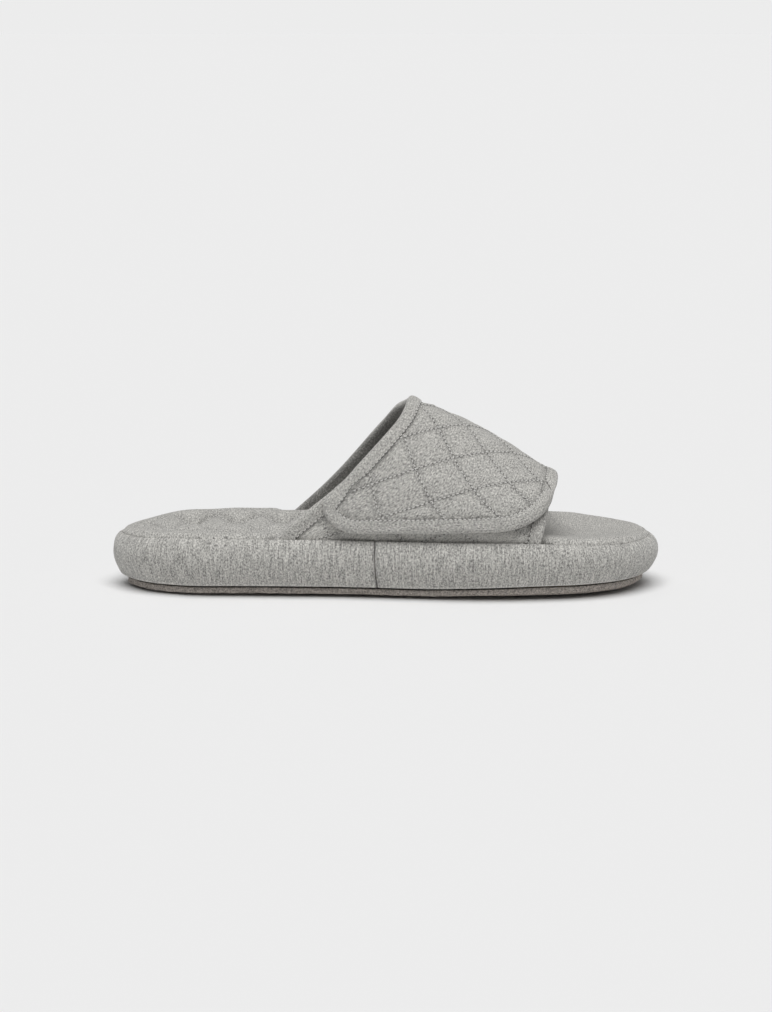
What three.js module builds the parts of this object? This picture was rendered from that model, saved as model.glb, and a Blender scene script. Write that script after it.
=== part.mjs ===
// A quilted spa slipper for the right foot: a padded slide with a hook-and-loop wrap strap.
// Millimetres, +X to the toe, +Y to the inner (big toe) side, +Z up. The origin lies on the ground under the
// middle of the slipper's length, on the line through the middle of the heel.
import * as THREE from "three";

// ---- Driving dimensions ----------------------------------------------------------------------------------

const GAP = 0.3; // between neighbouring pieces

// Plan outline at the widest height of the side wall
const LENGTH = 262;
const HEEL_HALF_WIDTH = 37.5;
const WAIST_OUTER = 41; // half-width under the arch, little toe side
const WAIST_INNER = 37.5; // half-width under the arch, big toe side
const BALL_OUTER = 48.5;
const BALL_INNER = 49.5;
const TOE_TIP_Y = 3; // the foremost point lies a little to the inner side

// Sole unit, from the ground up
const TREAD_HEIGHT = 1.2;
const TREAD_STEP = 2.5; // how far the tread stands in from the outsole's edge
const OUTSOLE_THICKNESS = 3;
const OUTSOLE_INSET = 6.5;
const WRAP_THICKNESS = 1.2;
const WRAP_MARGIN = 10; // width of cloth turned under the platform
const MEMORY_FOAM_THICKNESS = 5;

// Side wall, covered by the wrap
const SEAM_HEIGHT = 28; // height of the seam between the wrap and the sock
const SEAM_HEEL_DROP = 2;
const SEAM_TOE_DROP = 3.5;
const ARCH_RISE = 2; // how much higher the seam runs on the inner side of the arch
const WALL_TUCK_BOTTOM = 5; // inset of the wall where it meets the outsole
const WALL_TUCK_TOP = 3; // inset of the wall at the seam
const WALL_WIDEST_AT = 0.6; // share of the wall's height where it is widest
const WRAP_JOINT_AT = -5; // x of the two upright seams between the front and rear wraps

// Sock: the quilted layers that the foot stands on
const SOCK_COVER_THICKNESS = 1;
const SOCK_WADDING_THICKNESS = 2.5;
const SOCK_BACKING_THICKNESS = 0.7;
const SOCK_CREST_RISE = 2.8; // padded rim over the seam
const SOCK_CREST_WIDTH = 7;
const SOCK_CUP_DEPTH = 2.6; // dip from the rim's crest to the middle

// Straps: a sandwich of shell, padding and lining
const SHELL_THICKNESS = 0.8;
const PADDING_THICKNESS = 1.2;
const LINING_THICKNESS = 0.7;
const BINDING_THICKNESS = 0.6;
const BINDING_WIDTH = 7;
const BINDING_GAP = 0.7; // from the strap's faces to the binding over them
const TAPE_THICKNESS = 0.7; // hook tape and loop tape
const TAPE_MARGIN = 1.5; // from the under strap's binding to the loop tape
const LOOP_TAPE_WIDTH = 20;
const LOOP_TAPE_LENGTH = 76;
const HOOK_TAPE_WIDTH = 15;
const HOOK_TAPE_LENGTH = 56;
const STRAP_BASE_DROP = 0.5; // from the seam's height down to the straps' base
const STRAP_MARGIN = 6; // depth of strap sewn into the seam
const REAR_BASE_OUTER_X = -51.5; // where the strap's rear edge leaves the seam
const REAR_BASE_INNER_X = -48;
const REAR_EDGE_BOW = 3.7; // forward bow of the rear edge on the inner side
const REAR_RIDGE_X = 11;
const REAR_RIDGE_RISE = 62; // height of the ridge over the straps' base
const FRONT_BASE_X = 72.5;
const FRONT_RIDGE_X = 79;
const FRONT_RIDGE_RISE = 25;
const RIDGE_BULGE = 4.3; // rise of the ridge's middle over a straight line
const FLAP_EDGE_REAR_RISE = 3.1; // height of the flap's lower edge over the straps' base
const FLAP_EDGE_FRONT_RISE = 5.3;
const FLAP_CORNER_REAR = 22.5; // corner heights of the flap
const FLAP_CORNER_FRONT = 12;
const FLAP_CORNER_REAR_SHARE = 0.29; // corner widths, as shares of the flap's length
const FLAP_CORNER_FRONT_SHARE = 0.2;
const UNDER_STRAP_END_ANGLE = 64; // degrees round the arch, from the seam
const UNDER_STRAP_CORNER = 12; // degrees by which its corners are cut back
const FOLD_HEIGHT = 1.4; // height over the seam of the under strap's fold line

// How finely curved surfaces are divided
const OUTLINE_STEPS = 52;
const GIRTH_STEPS = 16;
const LENGTH_STEPS = 12;

// ---- Sizes that follow -----------------------------------------------------------------------------------

const OUTSOLE_TOP = TREAD_HEIGHT + OUTSOLE_THICKNESS;
const WALL_BOTTOM = OUTSOLE_TOP + GAP;
const PLATFORM_BOTTOM = WALL_BOTTOM + WRAP_THICKNESS + GAP;
const WALL_CLEARANCE = WRAP_THICKNESS + GAP; // from the wall's outer face to what it covers
const STRAP_INSET = WALL_TUCK_TOP + WALL_CLEARANCE;
const STRAP_BASE_HEIGHT = SEAM_HEIGHT - STRAP_BASE_DROP;
const STRAP_THICKNESS = SHELL_THICKNESS + PADDING_THICKNESS + LINING_THICKNESS + 2 * GAP;
const TAPE_STACK = 2 * TAPE_THICKNESS + 3 * GAP;
const BINDING_STACK = 2 * (BINDING_GAP + BINDING_THICKNESS + GAP);
const FLAP_LIFT = STRAP_THICKNESS + Math.max(TAPE_STACK, BINDING_STACK); // over the under strap
const SLOT = STRAP_THICKNESS + 2 * GAP; // room that the strap's margin takes from the sock
const CREASE_HALF_GAP = GAP / 2;

// ---- Small helpers ---------------------------------------------------------------------------------------

const lerp = THREE.MathUtils.lerp;
const clamp01 = (t) => THREE.MathUtils.clamp(t, 0, 1);
const smooth = (t, from = 0, to = 1) => THREE.MathUtils.smoothstep((t - from) / (to - from), 0, 1);
const range = (n) => Array.from({ length: n }, (_, i) => i);
const shares = (n) => range(n + 1).map((i) => i / n);

// A closed geometry from points and triangles, with its faces turned outwards.
function closedGeometry(points, triangles) {
  const volume = triangles.reduce((sum, [a, b, c]) => {
    const cross = new THREE.Vector3().crossVectors(points[b], points[c]);
    return sum + points[a].dot(cross);
  }, 0);
  const facing = volume > 0 ? triangles : triangles.map(([a, b, c]) => [a, c, b]);
  const geometry = new THREE.BufferGeometry().setFromPoints(points);
  geometry.setIndex(facing.flat());
  geometry.computeVertexNormals();
  return geometry;
}

// A solid through a row of closed loops of equal length. cap lists the triangles that close a loop, wound the
// way the loop runs.
function loftGeometry(loops, cap) {
  const count = loops[0].length;
  const triangles = [];
  for (const k of range(loops.length - 1)) {
    for (const i of range(count)) {
      const [a, b] = [k * count + i, k * count + ((i + 1) % count)];
      triangles.push([a, b, b + count], [a, b + count, a + count]);
    }
  }
  const last = (loops.length - 1) * count;
  for (const [a, b, c] of cap) triangles.push([a, c, b], [last + a, last + b, last + c]);
  return closedGeometry(loops.flat(), triangles);
}

// The triangles that fill a section drawn in its own plane.
function sectionCap(section) {
  const flat = section.map(([across, up]) => new THREE.Vector2(across, up));
  const cap = THREE.ShapeUtils.triangulateShape(flat, []);
  const [a, b, c] = cap[0].map((i) => flat[i]);
  const runsBack = THREE.ShapeUtils.isClockWise(flat) !== THREE.ShapeUtils.isClockWise([a, b, c]);
  return runsBack ? cap.map(([p, q, r]) => [p, r, q]) : cap;
}

// The triangles that fill a ring of the plan in strips from side to side.
function ringCap(count) {
  const strips = range(count / 2 - 2).map((i) => [i + 1, i + 2, count - i - 2, count - i - 1]);
  const middle = strips.flatMap(([a, b, c, d]) => [[a, b, c], [a, c, d]]);
  return [[0, 1, count - 1], ...middle, [count / 2 - 1, count / 2, count / 2 + 1]];
}

// A curved slab between two grids of points, grid[row][column].
function slabGeometry(outer, inner) {
  const rows = outer.length;
  const columns = outer[0].length;
  const points = [...outer.flat(), ...inner.flat()];
  const top = (i, j) => i * columns + j;
  const bottom = (i, j) => rows * columns + i * columns + j;
  const triangles = [];
  const quad = (a, b, c, d) => triangles.push([a, b, c], [a, c, d]);
  for (const i of range(rows - 1)) {
    for (const j of range(columns - 1)) {
      quad(top(i, j), top(i + 1, j), top(i + 1, j + 1), top(i, j + 1));
      quad(bottom(i, j), bottom(i, j + 1), bottom(i + 1, j + 1), bottom(i + 1, j));
    }
    quad(top(i, 0), bottom(i, 0), bottom(i + 1, 0), top(i + 1, 0));
    quad(top(i + 1, columns - 1), bottom(i + 1, columns - 1), bottom(i, columns - 1), top(i, columns - 1));
  }
  for (const j of range(columns - 1)) {
    quad(top(0, j + 1), bottom(0, j + 1), bottom(0, j), top(0, j));
    quad(top(rows - 1, j), bottom(rows - 1, j), bottom(rows - 1, j + 1), top(rows - 1, j + 1));
  }
  return closedGeometry(points, triangles);
}

// ---- Plan outline ----------------------------------------------------------------------------------------

// Points as [share of the length from the heel, y], from the heel round the outer side to the toe and back.
const OUTLINE_POINTS = [
  [0, 0],
  [0.045, -0.6 * HEEL_HALF_WIDTH],
  [0.13, -0.93 * HEEL_HALF_WIDTH],
  [0.26, -HEEL_HALF_WIDTH - 0.5],
  [0.44, -WAIST_OUTER],
  [0.6, -lerp(WAIST_OUTER, BALL_OUTER, 0.8)],
  [0.74, -BALL_OUTER],
  [0.875, -0.86 * BALL_OUTER],
  [0.96, -0.52 * BALL_OUTER],
  [1, TOE_TIP_Y],
  [0.965, 0.58 * BALL_INNER],
  [0.885, 0.86 * BALL_INNER],
  [0.76, BALL_INNER],
  [0.62, lerp(WAIST_INNER, BALL_INNER, 0.8)],
  [0.45, WAIST_INNER + 1],
  [0.3, WAIST_INNER - 1],
  [0.15, 0.95 * HEEL_HALF_WIDTH],
  [0.05, 0.64 * HEEL_HALF_WIDTH],
].map(([share, y]) => new THREE.Vector3((share - 0.5) * LENGTH, y, 0));

const outlineCurve = new THREE.CatmullRomCurve3(OUTLINE_POINTS, true, "centripetal");

// The outline's points with their inward directions. It runs anticlockwise, so inward is to the left.
function outlineSample(share) {
  const tangent = outlineCurve.getTangentAt(share % 1);
  return { point: outlineCurve.getPointAt(share % 1), inward: new THREE.Vector3(-tangent.y, tangent.x, 0).normalize() };
}

const outline = range(OUTLINE_STEPS).map((i) => outlineSample(i / OUTLINE_STEPS));

// A closed ring's y at x, on the outer side (side -1) or the inner side (side 1).
function ringY(ring, x, side) {
  const half = ring.length / 2;
  const points = side < 0 ? ring.slice(0, half + 1) : [ring[0], ...ring.slice(half).reverse()];
  const i = Math.max(points.findIndex((p) => p.x >= x), 1);
  const [a, b] = [points[i - 1], points[i]];
  return lerp(a.y, b.y, (x - a.x) / (b.x - a.x));
}

// The line down the middle of the sole that the inner rings of its layers close in on.
function spinePoint(point) {
  const x = THREE.MathUtils.clamp(point.x, -LENGTH / 2 + HEEL_HALF_WIDTH, LENGTH / 2 - BALL_OUTER);
  const ring = outline.map((sample) => sample.point);
  return new THREE.Vector3(x, (ringY(ring, x, -1) + ringY(ring, x, 1)) / 2, 0);
}

// ---- Heights of the sole ---------------------------------------------------------------------------------

function seamHeight(point) {
  const heel = smooth(-point.x, LENGTH * 0.36, LENGTH * 0.5);
  const toe = smooth(point.x, LENGTH * 0.2, LENGTH * 0.5);
  const arch = smooth(point.y, -10, 30) * (1 - smooth(Math.abs(point.x + 0.2 * LENGTH), 20, 0.36 * LENGTH));
  return SEAM_HEIGHT - SEAM_HEEL_DROP * heel - SEAM_TOE_DROP * toe + ARCH_RISE * arch;
}

// The side wall's inset at a share of its height: widest at WALL_WIDEST_AT, drawn in above and below.
function wallInset(share) {
  const below = clamp01(1 - share / WALL_WIDEST_AT);
  const above = clamp01((share - WALL_WIDEST_AT) / (1 - WALL_WIDEST_AT));
  return WALL_TUCK_BOTTOM * below ** 2 + WALL_TUCK_TOP * above ** 2;
}

const wallShare = (sample, z) => clamp01((z - WALL_BOTTOM) / (seamHeight(sample.point) - WALL_BOTTOM));

// 1 where the straps are sewn into the seam, 0 at the heel and the toe.
function strapZone(point) {
  const spacing = outlineCurve.getLength() / OUTLINE_STEPS;
  const rear = Math.min(REAR_BASE_OUTER_X, REAR_BASE_INNER_X) - spacing;
  const front = FRONT_BASE_X + spacing;
  return smooth(point.x, rear - spacing, rear) * (1 - smooth(point.x, front, front + spacing));
}

// Height of the sock's top face, at a distance in from its edge or at a share of the way to the spine.
function sockHeight(sample, distance, toSpine) {
  const rise = Math.sqrt(1 - (1 - Math.min(distance / SOCK_CREST_WIDTH, 1)) ** 2);
  const seam = lerp(seamHeight(sample.point), seamHeight(spinePoint(sample.point)), toSpine);
  return seam + SOCK_CREST_RISE * rise - SOCK_CUP_DEPTH * smooth(toSpine);
}

// ---- Sole pieces -----------------------------------------------------------------------------------------

// A point of the plan: the outline moved in by inset, then a share of the way on to the spine.
function planPoint(sample, inset, toSpine, z) {
  const edge = sample.point.clone().addScaledVector(sample.inward, inset);
  return edge.lerp(spinePoint(sample.point), toSpine).setZ(z);
}

const ringSolid = (rings) => loftGeometry(rings, ringCap(OUTLINE_STEPS));

function outsoleGeometry() {
  const ring = (inset, z) => outline.map((sample) => planPoint(sample, inset, 0, z));
  return ringSolid([
    ring(OUTSOLE_INSET + TREAD_STEP, 0),
    ring(OUTSOLE_INSET + TREAD_STEP, TREAD_HEIGHT),
    ring(OUTSOLE_INSET + 0.4, TREAD_HEIGHT),
    ring(OUTSOLE_INSET, TREAD_HEIGHT + 0.8),
    ring(OUTSOLE_INSET, OUTSOLE_TOP),
  ]);
}

function fillerBoardGeometry() {
  const inset = WALL_TUCK_BOTTOM + WRAP_MARGIN + GAP;
  const ring = (z) => outline.map((sample) => planPoint(sample, inset, 0, z));
  return ringSolid([ring(WALL_BOTTOM), ring(WALL_BOTTOM + WRAP_THICKNESS)]);
}

// One layer under the sock's top face, from depth top to depth bottom, with an edge that follows the wall.
const LAYER_STATIONS = [
  { distance: 0, toSpine: 0 },
  { distance: 0.5 * SOCK_CREST_WIDTH, toSpine: 0 },
  { distance: 1.2 * SOCK_CREST_WIDTH, toSpine: 0 },
  { distance: 1.2 * SOCK_CREST_WIDTH, toSpine: 0.45 },
  { distance: 1.2 * SOCK_CREST_WIDTH, toSpine: 0.93 },
];

function layerEdge(sample, z) {
  const slot = SLOT * strapZone(sample.point);
  return Math.max(wallInset(wallShare(sample, z)) + WALL_CLEARANCE, WALL_TUCK_TOP + WALL_CLEARANCE + slot);
}

function layerRing(station, depth) {
  return outline.map((sample) => {
    const z = sockHeight(sample, station.distance, station.toSpine) - depth;
    return planPoint(sample, layerEdge(sample, z) + station.distance, station.toSpine, z);
  });
}

function sockLayerGeometry(top, bottom) {
  const below = [...LAYER_STATIONS].reverse().map((station) => layerRing(station, bottom));
  return ringSolid([...below, ...LAYER_STATIONS.map((station) => layerRing(station, top))]);
}

function platformGeometry(depth) {
  const wallRing = (z) =>
    outline.map((sample) => planPoint(sample, wallInset(wallShare(sample, z)) + WALL_CLEARANCE, 0, z));
  const strapFloor = STRAP_BASE_HEIGHT - STRAP_MARGIN - GAP;
  const shoulder = outline.map((sample) => {
    const top = Math.min(sockHeight(sample, 0, 0) - depth, strapFloor);
    return planPoint(sample, wallInset(wallShare(sample, top)) + WALL_CLEARANCE, 0, top - 0.6);
  });
  const rise = lerp(PLATFORM_BOTTOM, SEAM_HEIGHT, 0.35) - PLATFORM_BOTTOM;
  return ringSolid([
    wallRing(PLATFORM_BOTTOM),
    wallRing(PLATFORM_BOTTOM + 0.35 * rise),
    wallRing(PLATFORM_BOTTOM + rise),
    shoulder,
    ...LAYER_STATIONS.map((station) => layerRing(station, depth)),
  ]);
}

// Depths of the layers below the sock's top face.
const WADDING_DEPTH = SOCK_COVER_THICKNESS + GAP;
const BACKING_DEPTH = WADDING_DEPTH + SOCK_WADDING_THICKNESS + GAP;
const MEMORY_FOAM_DEPTH = BACKING_DEPTH + SOCK_BACKING_THICKNESS + GAP;
const PLATFORM_DEPTH = MEMORY_FOAM_DEPTH + MEMORY_FOAM_THICKNESS + GAP;

// ---- Side wall wraps -------------------------------------------------------------------------------------

const WALL_SHARES = [0, 0.1, 0.22, 0.36, 0.5, 0.66, 0.82, 1];

// The wrap's cross-section as [inset, height share, lift over that height].
function wrapSection() {
  const end = WALL_TUCK_BOTTOM + WRAP_MARGIN;
  const outer = WALL_SHARES.map((s) => [wallInset(s), s, 0]);
  const inner = WALL_SHARES.slice(1).reverse().map((s) => [wallInset(s) + WRAP_THICKNESS, s, 0]);
  const corner = wallInset(WRAP_THICKNESS / SEAM_HEIGHT) + WRAP_THICKNESS;
  return [[end, 0, 0], ...outer, ...inner, [corner, 0, WRAP_THICKNESS], [end, 0, WRAP_THICKNESS]];
}

function wrapLoop(share, section) {
  const sample = outlineSample(share);
  const height = seamHeight(sample.point) - WALL_BOTTOM;
  return section.map(([inset, s, lift]) => planPoint(sample, inset, 0, WALL_BOTTOM + s * height + lift));
}

// The outline's share at x on one side, found by halving.
function outlineShareAt(x, side) {
  let [low, high] = side < 0 ? [0.02, 0.48] : [0.98, 0.52];
  for (const _ of range(30)) {
    const middle = (low + high) / 2;
    if (outlineCurve.getPointAt(middle).x < x) low = middle;
    else high = middle;
  }
  return (low + high) / 2;
}

// The wrap bends where the outline's samples lie, as the pieces inside it do.
function wrapGeometry(from, to) {
  const section = wrapSection();
  const between = range(2 * OUTLINE_STEPS).map((i) => i / OUTLINE_STEPS).filter((t) => t > from && t < to);
  const loops = [from, ...between, to].map((t) => wrapLoop(t % 1, section));
  return loftGeometry(loops, sectionCap(section.map(([inset, s, lift]) => [inset, s * SEAM_HEIGHT + lift])));
}

const jointGap = GAP / 2 / outlineCurve.getLength();
const outerJoint = outlineShareAt(WRAP_JOINT_AT, -1);
const innerJoint = outlineShareAt(WRAP_JOINT_AT, 1);

// ---- Strap surface ---------------------------------------------------------------------------------------

// The straps lie on an arch over the foot. round runs from 0 at the outer seam over the ridge at 0.5 to 1 at
// the inner seam, and along runs from 0 at the rear edge to 1 at the front edge.
function archHeight(along) {
  return lerp(REAR_RIDGE_RISE, FRONT_RIDGE_RISE, along) + RIDGE_BULGE * Math.sin(Math.PI * along);
}

const strapRing = outline.map((sample) => planPoint(sample, STRAP_INSET, 0, 0));

function archPoint(round, along) {
  const held = clamp01(round); // below the seam the straps go straight down
  const rise = Math.sin(Math.PI * held);
  const rearBase = lerp(REAR_BASE_OUTER_X, REAR_BASE_INNER_X, held);
  const bow = REAR_EDGE_BOW * smooth(round, 0.5, 0.7) * Math.sin(Math.PI * rise);
  const rear = lerp(rearBase, REAR_RIDGE_X, rise) + bow;
  const front = lerp(FRONT_BASE_X, FRONT_RIDGE_X, rise);
  const x = lerp(rear, front, along);
  const halfWidth = Math.abs(ringY(strapRing, x, round < 0.5 ? -1 : 1));
  const z = STRAP_BASE_HEIGHT + archHeight(along) * Math.sin(Math.PI * round);
  return new THREE.Vector3(x, -halfWidth * Math.cos(Math.PI * held), z);
}

function archNormal(round, along) {
  const step = 0.004;
  const du = archPoint(round + step, along).sub(archPoint(round - step, along));
  const dv = archPoint(round, along + step).sub(archPoint(round, along - step));
  return dv.cross(du).normalize();
}

// How far the flap stands off the arch, so that the under strap and the tapes lie beneath it.
const flapLift = (round) => FLAP_LIFT * smooth(0.5 - round, -0.08, 0.5 - UNDER_STRAP_END_ANGLE / 180);

function strapPoint(round, along, offset) {
  return archPoint(round, along).addScaledVector(archNormal(round, along), offset);
}

const wrapStrapPoint = (round, along, offset) => strapPoint(round, along, offset + flapLift(round));

// The share round the arch at a height over the seam, on the outer side.
const roundAtHeight = (height, along) => Math.asin(height / archHeight(along)) / Math.PI;

// ---- Strap outlines --------------------------------------------------------------------------------------

// Each strap is a patch of the arch: for each share along it, it runs from start to end round the arch.
const innerEnd = (along) => 1 - roundAtHeight(-STRAP_MARGIN, along);
const creaseShare = CREASE_HALF_GAP / (Math.PI * WAIST_INNER);

// 1 at a corner's tip, falling to 0 in a quarter circle over its share of the edge.
const corner = (along, share) => 1 - Math.sqrt(1 - clamp01(1 - along / share) ** 2);

// The same for a corner of 45 degrees, with across running square to its sloping edge.
function sharpCorner(along, share) {
  const depth = 1 + Math.SQRT1_2;
  const across = depth * clamp01(along / share);
  return 1 - (across + Math.sqrt(1 - (1 - across) ** 2)) / (depth + Math.SQRT1_2);
}

function flapEdge(along) {
  const base = lerp(FLAP_EDGE_REAR_RISE, FLAP_EDGE_FRONT_RISE, along);
  const rear = FLAP_CORNER_REAR * sharpCorner(along, FLAP_CORNER_REAR_SHARE);
  const front = FLAP_CORNER_FRONT * corner(1 - along, FLAP_CORNER_FRONT_SHARE);
  return roundAtHeight(base + rear + front, along);
}

function underStrapEdge(along) {
  const cut = UNDER_STRAP_CORNER * (corner(along, 0.1) + corner(1 - along, 0.1));
  return (UNDER_STRAP_END_ANGLE - cut) / 180;
}

const STRAPS = {
  inner: {
    place: wrapStrapPoint,
    start: () => 0.5 + creaseShare,
    end: innerEnd,
  },
  flap: {
    place: wrapStrapPoint,
    start: () => 0.5 - creaseShare,
    end: flapEdge,
  },
  under: {
    place: strapPoint,
    start: (along) => roundAtHeight(FOLD_HEIGHT + GAP, along),
    end: underStrapEdge,
  },
};

// Shares along the strap, closer together near the ends, where the flap's corners curve.
const alongShares = shares(LENGTH_STEPS).map((t) => lerp(t, (1 - Math.cos(Math.PI * t)) / 2, 0.9));

function strapLayer(strap, top, thickness) {
  const grid = (offset) =>
    shares(GIRTH_STEPS).map((t) =>
      alongShares.map((along) => strap.place(lerp(strap.start(along), strap.end(along), t), along, -offset)),
    );
  return slabGeometry(grid(top), grid(top + thickness));
}

const PADDING_TOP = SHELL_THICKNESS + GAP;
const LINING_TOP = PADDING_TOP + PADDING_THICKNESS + GAP;

// ---- Bindings --------------------------------------------------------------------------------------------

// A binding is a strip folded round a strap's edge. Its section is a U of [distance in from the edge, offset].
function bindingSection() {
  const [face, back] = [BINDING_GAP, -STRAP_THICKNESS - BINDING_GAP];
  const t = BINDING_THICKNESS;
  const middle = (face + back) / 2;
  return [
    [BINDING_WIDTH, face + t],
    [BINDING_WIDTH, face],
    [-GAP, face],
    [-GAP, back],
    [BINDING_WIDTH, back],
    [BINDING_WIDTH, back - t],
    [-GAP, back - t],
    [-GAP - 0.9 * t, back + 0.2],
    [-GAP - t, middle],
    [-GAP - 0.9 * t, face - 0.2],
    [-GAP, face + t],
  ];
}

// Where a point lies after a step in from the edge, as [round, along]: the step is square to the edge.
function stepInward(strap, [round, along], tangent, distance) {
  const h = 0.003;
  const at = (a, b) => strap.place(a, b, 0);
  const du = at(round + h, along).sub(at(round - h, along)).divideScalar(2 * h);
  const dv = at(round, along + h).sub(at(round, along - h)).divideScalar(2 * h);
  const normal = du.clone().cross(dv).normalize();
  const edge = du.clone().multiplyScalar(tangent[0]).addScaledVector(dv, tangent[1]).normalize();
  const inward = normal.cross(edge).multiplyScalar(distance);
  const [uu, uv, vv] = [du.dot(du), du.dot(dv), dv.dot(dv)];
  const [iu, iv] = [inward.dot(du), inward.dot(dv)];
  const det = uu * vv - uv * uv;
  return [round + (iu * vv - iv * uv) / det, along + (iv * uu - iu * uv) / det];
}

// path is a list of [round, along] along the edge, with the strap to its left or right (side 1 or -1).
function bindingGeometry(strap, path, side) {
  const section = bindingSection();
  const loops = path.map((place, i) => {
    const [before, after] = [path[Math.max(i - 1, 0)], path[Math.min(i + 1, path.length - 1)]];
    const tangent = [after[0] - before[0], after[1] - before[1]];
    return section.map(([distance, offset]) => {
      const [round, along] = stepInward(strap, place, tangent, side * distance);
      return strap.place(round, along, offset);
    });
  });
  return loftGeometry(loops, sectionCap(section));
}

// Height over the straps' base at which a binding ends above the sock, at the rear edge or the front edge.
const bindingFoot = (along) => SOCK_CREST_RISE + lerp(ARCH_RISE + 0.75 * BINDING_WIDTH, 1.5, along);

// An edge that runs round the arch at the rear (along 0) or the front (along 1).
function crossEdge(strap, along, steps) {
  const foot = roundAtHeight(bindingFoot(along), along);
  const [start, end] = [Math.max(strap.start(along), foot), Math.min(strap.end(along), 1 - foot)];
  return shares(steps).map((t) => [lerp(start, end, t), along]);
}

// The edge that a strap with a free end shows: out along the rear, round the end and back along the front.
function freeEdge(strap, steps) {
  const end = shares(steps).map((t) => (1 - Math.cos(Math.PI * t)) / 2);
  const endPath = end.slice(1, -1).map((along) => [strap.end(along), along]);
  return [...crossEdge(strap, 0, 8), ...endPath, ...crossEdge(strap, 1, 7).reverse()];
}

// ---- Assembly --------------------------------------------------------------------------------------------

const slipper = new THREE.Group();

const MATERIALS = {
  jersey: { color: 0xa9a8a4, roughness: 0.95 },
  lining: { color: 0x8f8e8a, roughness: 0.95 },
  wadding: { color: 0xe8e6e0, roughness: 1 },
  foam: { color: 0xd8d2c4, roughness: 1 },
  board: { color: 0x8a6f50, roughness: 0.9 },
  outsole: { color: 0x7d746c, roughness: 0.85 },
  tape: { color: 0x6f6e6b, roughness: 0.8 },
};

function add(name, material, geometry) {
  const mesh = new THREE.Mesh(geometry, new THREE.MeshStandardMaterial({ metalness: 0, ...MATERIALS[material] }));
  mesh.name = name;
  slipper.add(mesh);
}

function addSole() {
  add("outsole", "outsole", outsoleGeometry());
  add("bottom_filler_board", "board", fillerBoardGeometry());
  add("platform_foam", "foam", platformGeometry(PLATFORM_DEPTH));
  add("memory_foam", "foam", sockLayerGeometry(MEMORY_FOAM_DEPTH, MEMORY_FOAM_DEPTH + MEMORY_FOAM_THICKNESS));
  add("sock_backing", "lining", sockLayerGeometry(BACKING_DEPTH, BACKING_DEPTH + SOCK_BACKING_THICKNESS));
  add("sock_wadding", "wadding", sockLayerGeometry(WADDING_DEPTH, WADDING_DEPTH + SOCK_WADDING_THICKNESS));
  add("sock_quilted_cover", "jersey", sockLayerGeometry(0, SOCK_COVER_THICKNESS));
  add("sidewall_wrap_front", "jersey", wrapGeometry(outerJoint + jointGap, innerJoint - jointGap));
  add("sidewall_wrap_rear", "jersey", wrapGeometry(innerJoint + jointGap, 1 + outerJoint - jointGap));
}

function addStrap(prefix, strap) {
  add(`${prefix}_shell`, "jersey", strapLayer(strap, 0, SHELL_THICKNESS));
  add(`${prefix}_padding`, "wadding", strapLayer(strap, PADDING_TOP, PADDING_THICKNESS));
  add(`${prefix}_lining`, "lining", strapLayer(strap, LINING_TOP, LINING_THICKNESS));
}

// Millimetres round the arch for each unit of round, at the under strap's end.
function girthScale(along) {
  const [round, h] = [UNDER_STRAP_END_ANGLE / 180, 0.005];
  return archPoint(round + h, along).distanceTo(archPoint(round - h, along)) / (2 * h);
}

// A strip of tape on the under strap or over it, with its lower face at an offset. Both tapes share their middle.
function tapeGeometry(bottom, width, length) {
  const middle = BINDING_WIDTH + TAPE_MARGIN + LOOP_TAPE_WIDTH / 2; // from the under strap's end
  const halfShare = length / 2 / (FRONT_BASE_X - REAR_BASE_OUTER_X);
  const place = (t, s, offset) => {
    const along = lerp(0.5 - halfShare, 0.5 + halfShare, s);
    const round = UNDER_STRAP_END_ANGLE / 180 - (middle + width * (t - 0.5)) / girthScale(along);
    return strapPoint(round, along, offset);
  };
  const grid = (offset) => shares(6).map((t) => shares(6).map((s) => place(t, s, offset)));
  return slabGeometry(grid(bottom + TAPE_THICKNESS), grid(bottom));
}

function addStraps() {
  const { inner, flap, under } = STRAPS;
  addStrap("inner_strap", inner);
  add("inner_strap_binding_rear", "jersey", bindingGeometry(inner, crossEdge(inner, 0, 10), 1));
  add("inner_strap_binding_front", "jersey", bindingGeometry(inner, crossEdge(inner, 1, 9), -1));

  addStrap("flap", flap);
  add("flap_binding", "jersey", bindingGeometry(flap, freeEdge(flap, 26), -1));
  const hookBottom = FLAP_LIFT - STRAP_THICKNESS - GAP - TAPE_THICKNESS;
  add("hook_tape", "tape", tapeGeometry(hookBottom, HOOK_TAPE_WIDTH, HOOK_TAPE_LENGTH));

  addStrap("under_strap", under);
  add("under_strap_binding", "jersey", bindingGeometry(under, freeEdge(under, 22), 1));
  add("loop_tape", "tape", tapeGeometry(GAP, LOOP_TAPE_WIDTH, LOOP_TAPE_LENGTH));

  const margin = {
    place: strapPoint,
    start: (along) => roundAtHeight(-STRAP_MARGIN, along),
    end: (along) => roundAtHeight(FOLD_HEIGHT, along),
  };
  add("under_strap_margin", "jersey", strapLayer(margin, 0, STRAP_THICKNESS));
}

addSole();
addStraps();

export default slipper;
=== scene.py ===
"""A quilted spa slipper for the right foot, in heather-grey jersey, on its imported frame.

Lengths are in millimetres until a mesh is made. +X is the toe, +Y the inner side of the foot, +Z up.
"""

import math

import bmesh
import bpy
import numpy as np
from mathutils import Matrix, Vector
from mathutils.geometry import delaunay_2d_cdt
from mathutils.kdtree import KDTree


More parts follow.
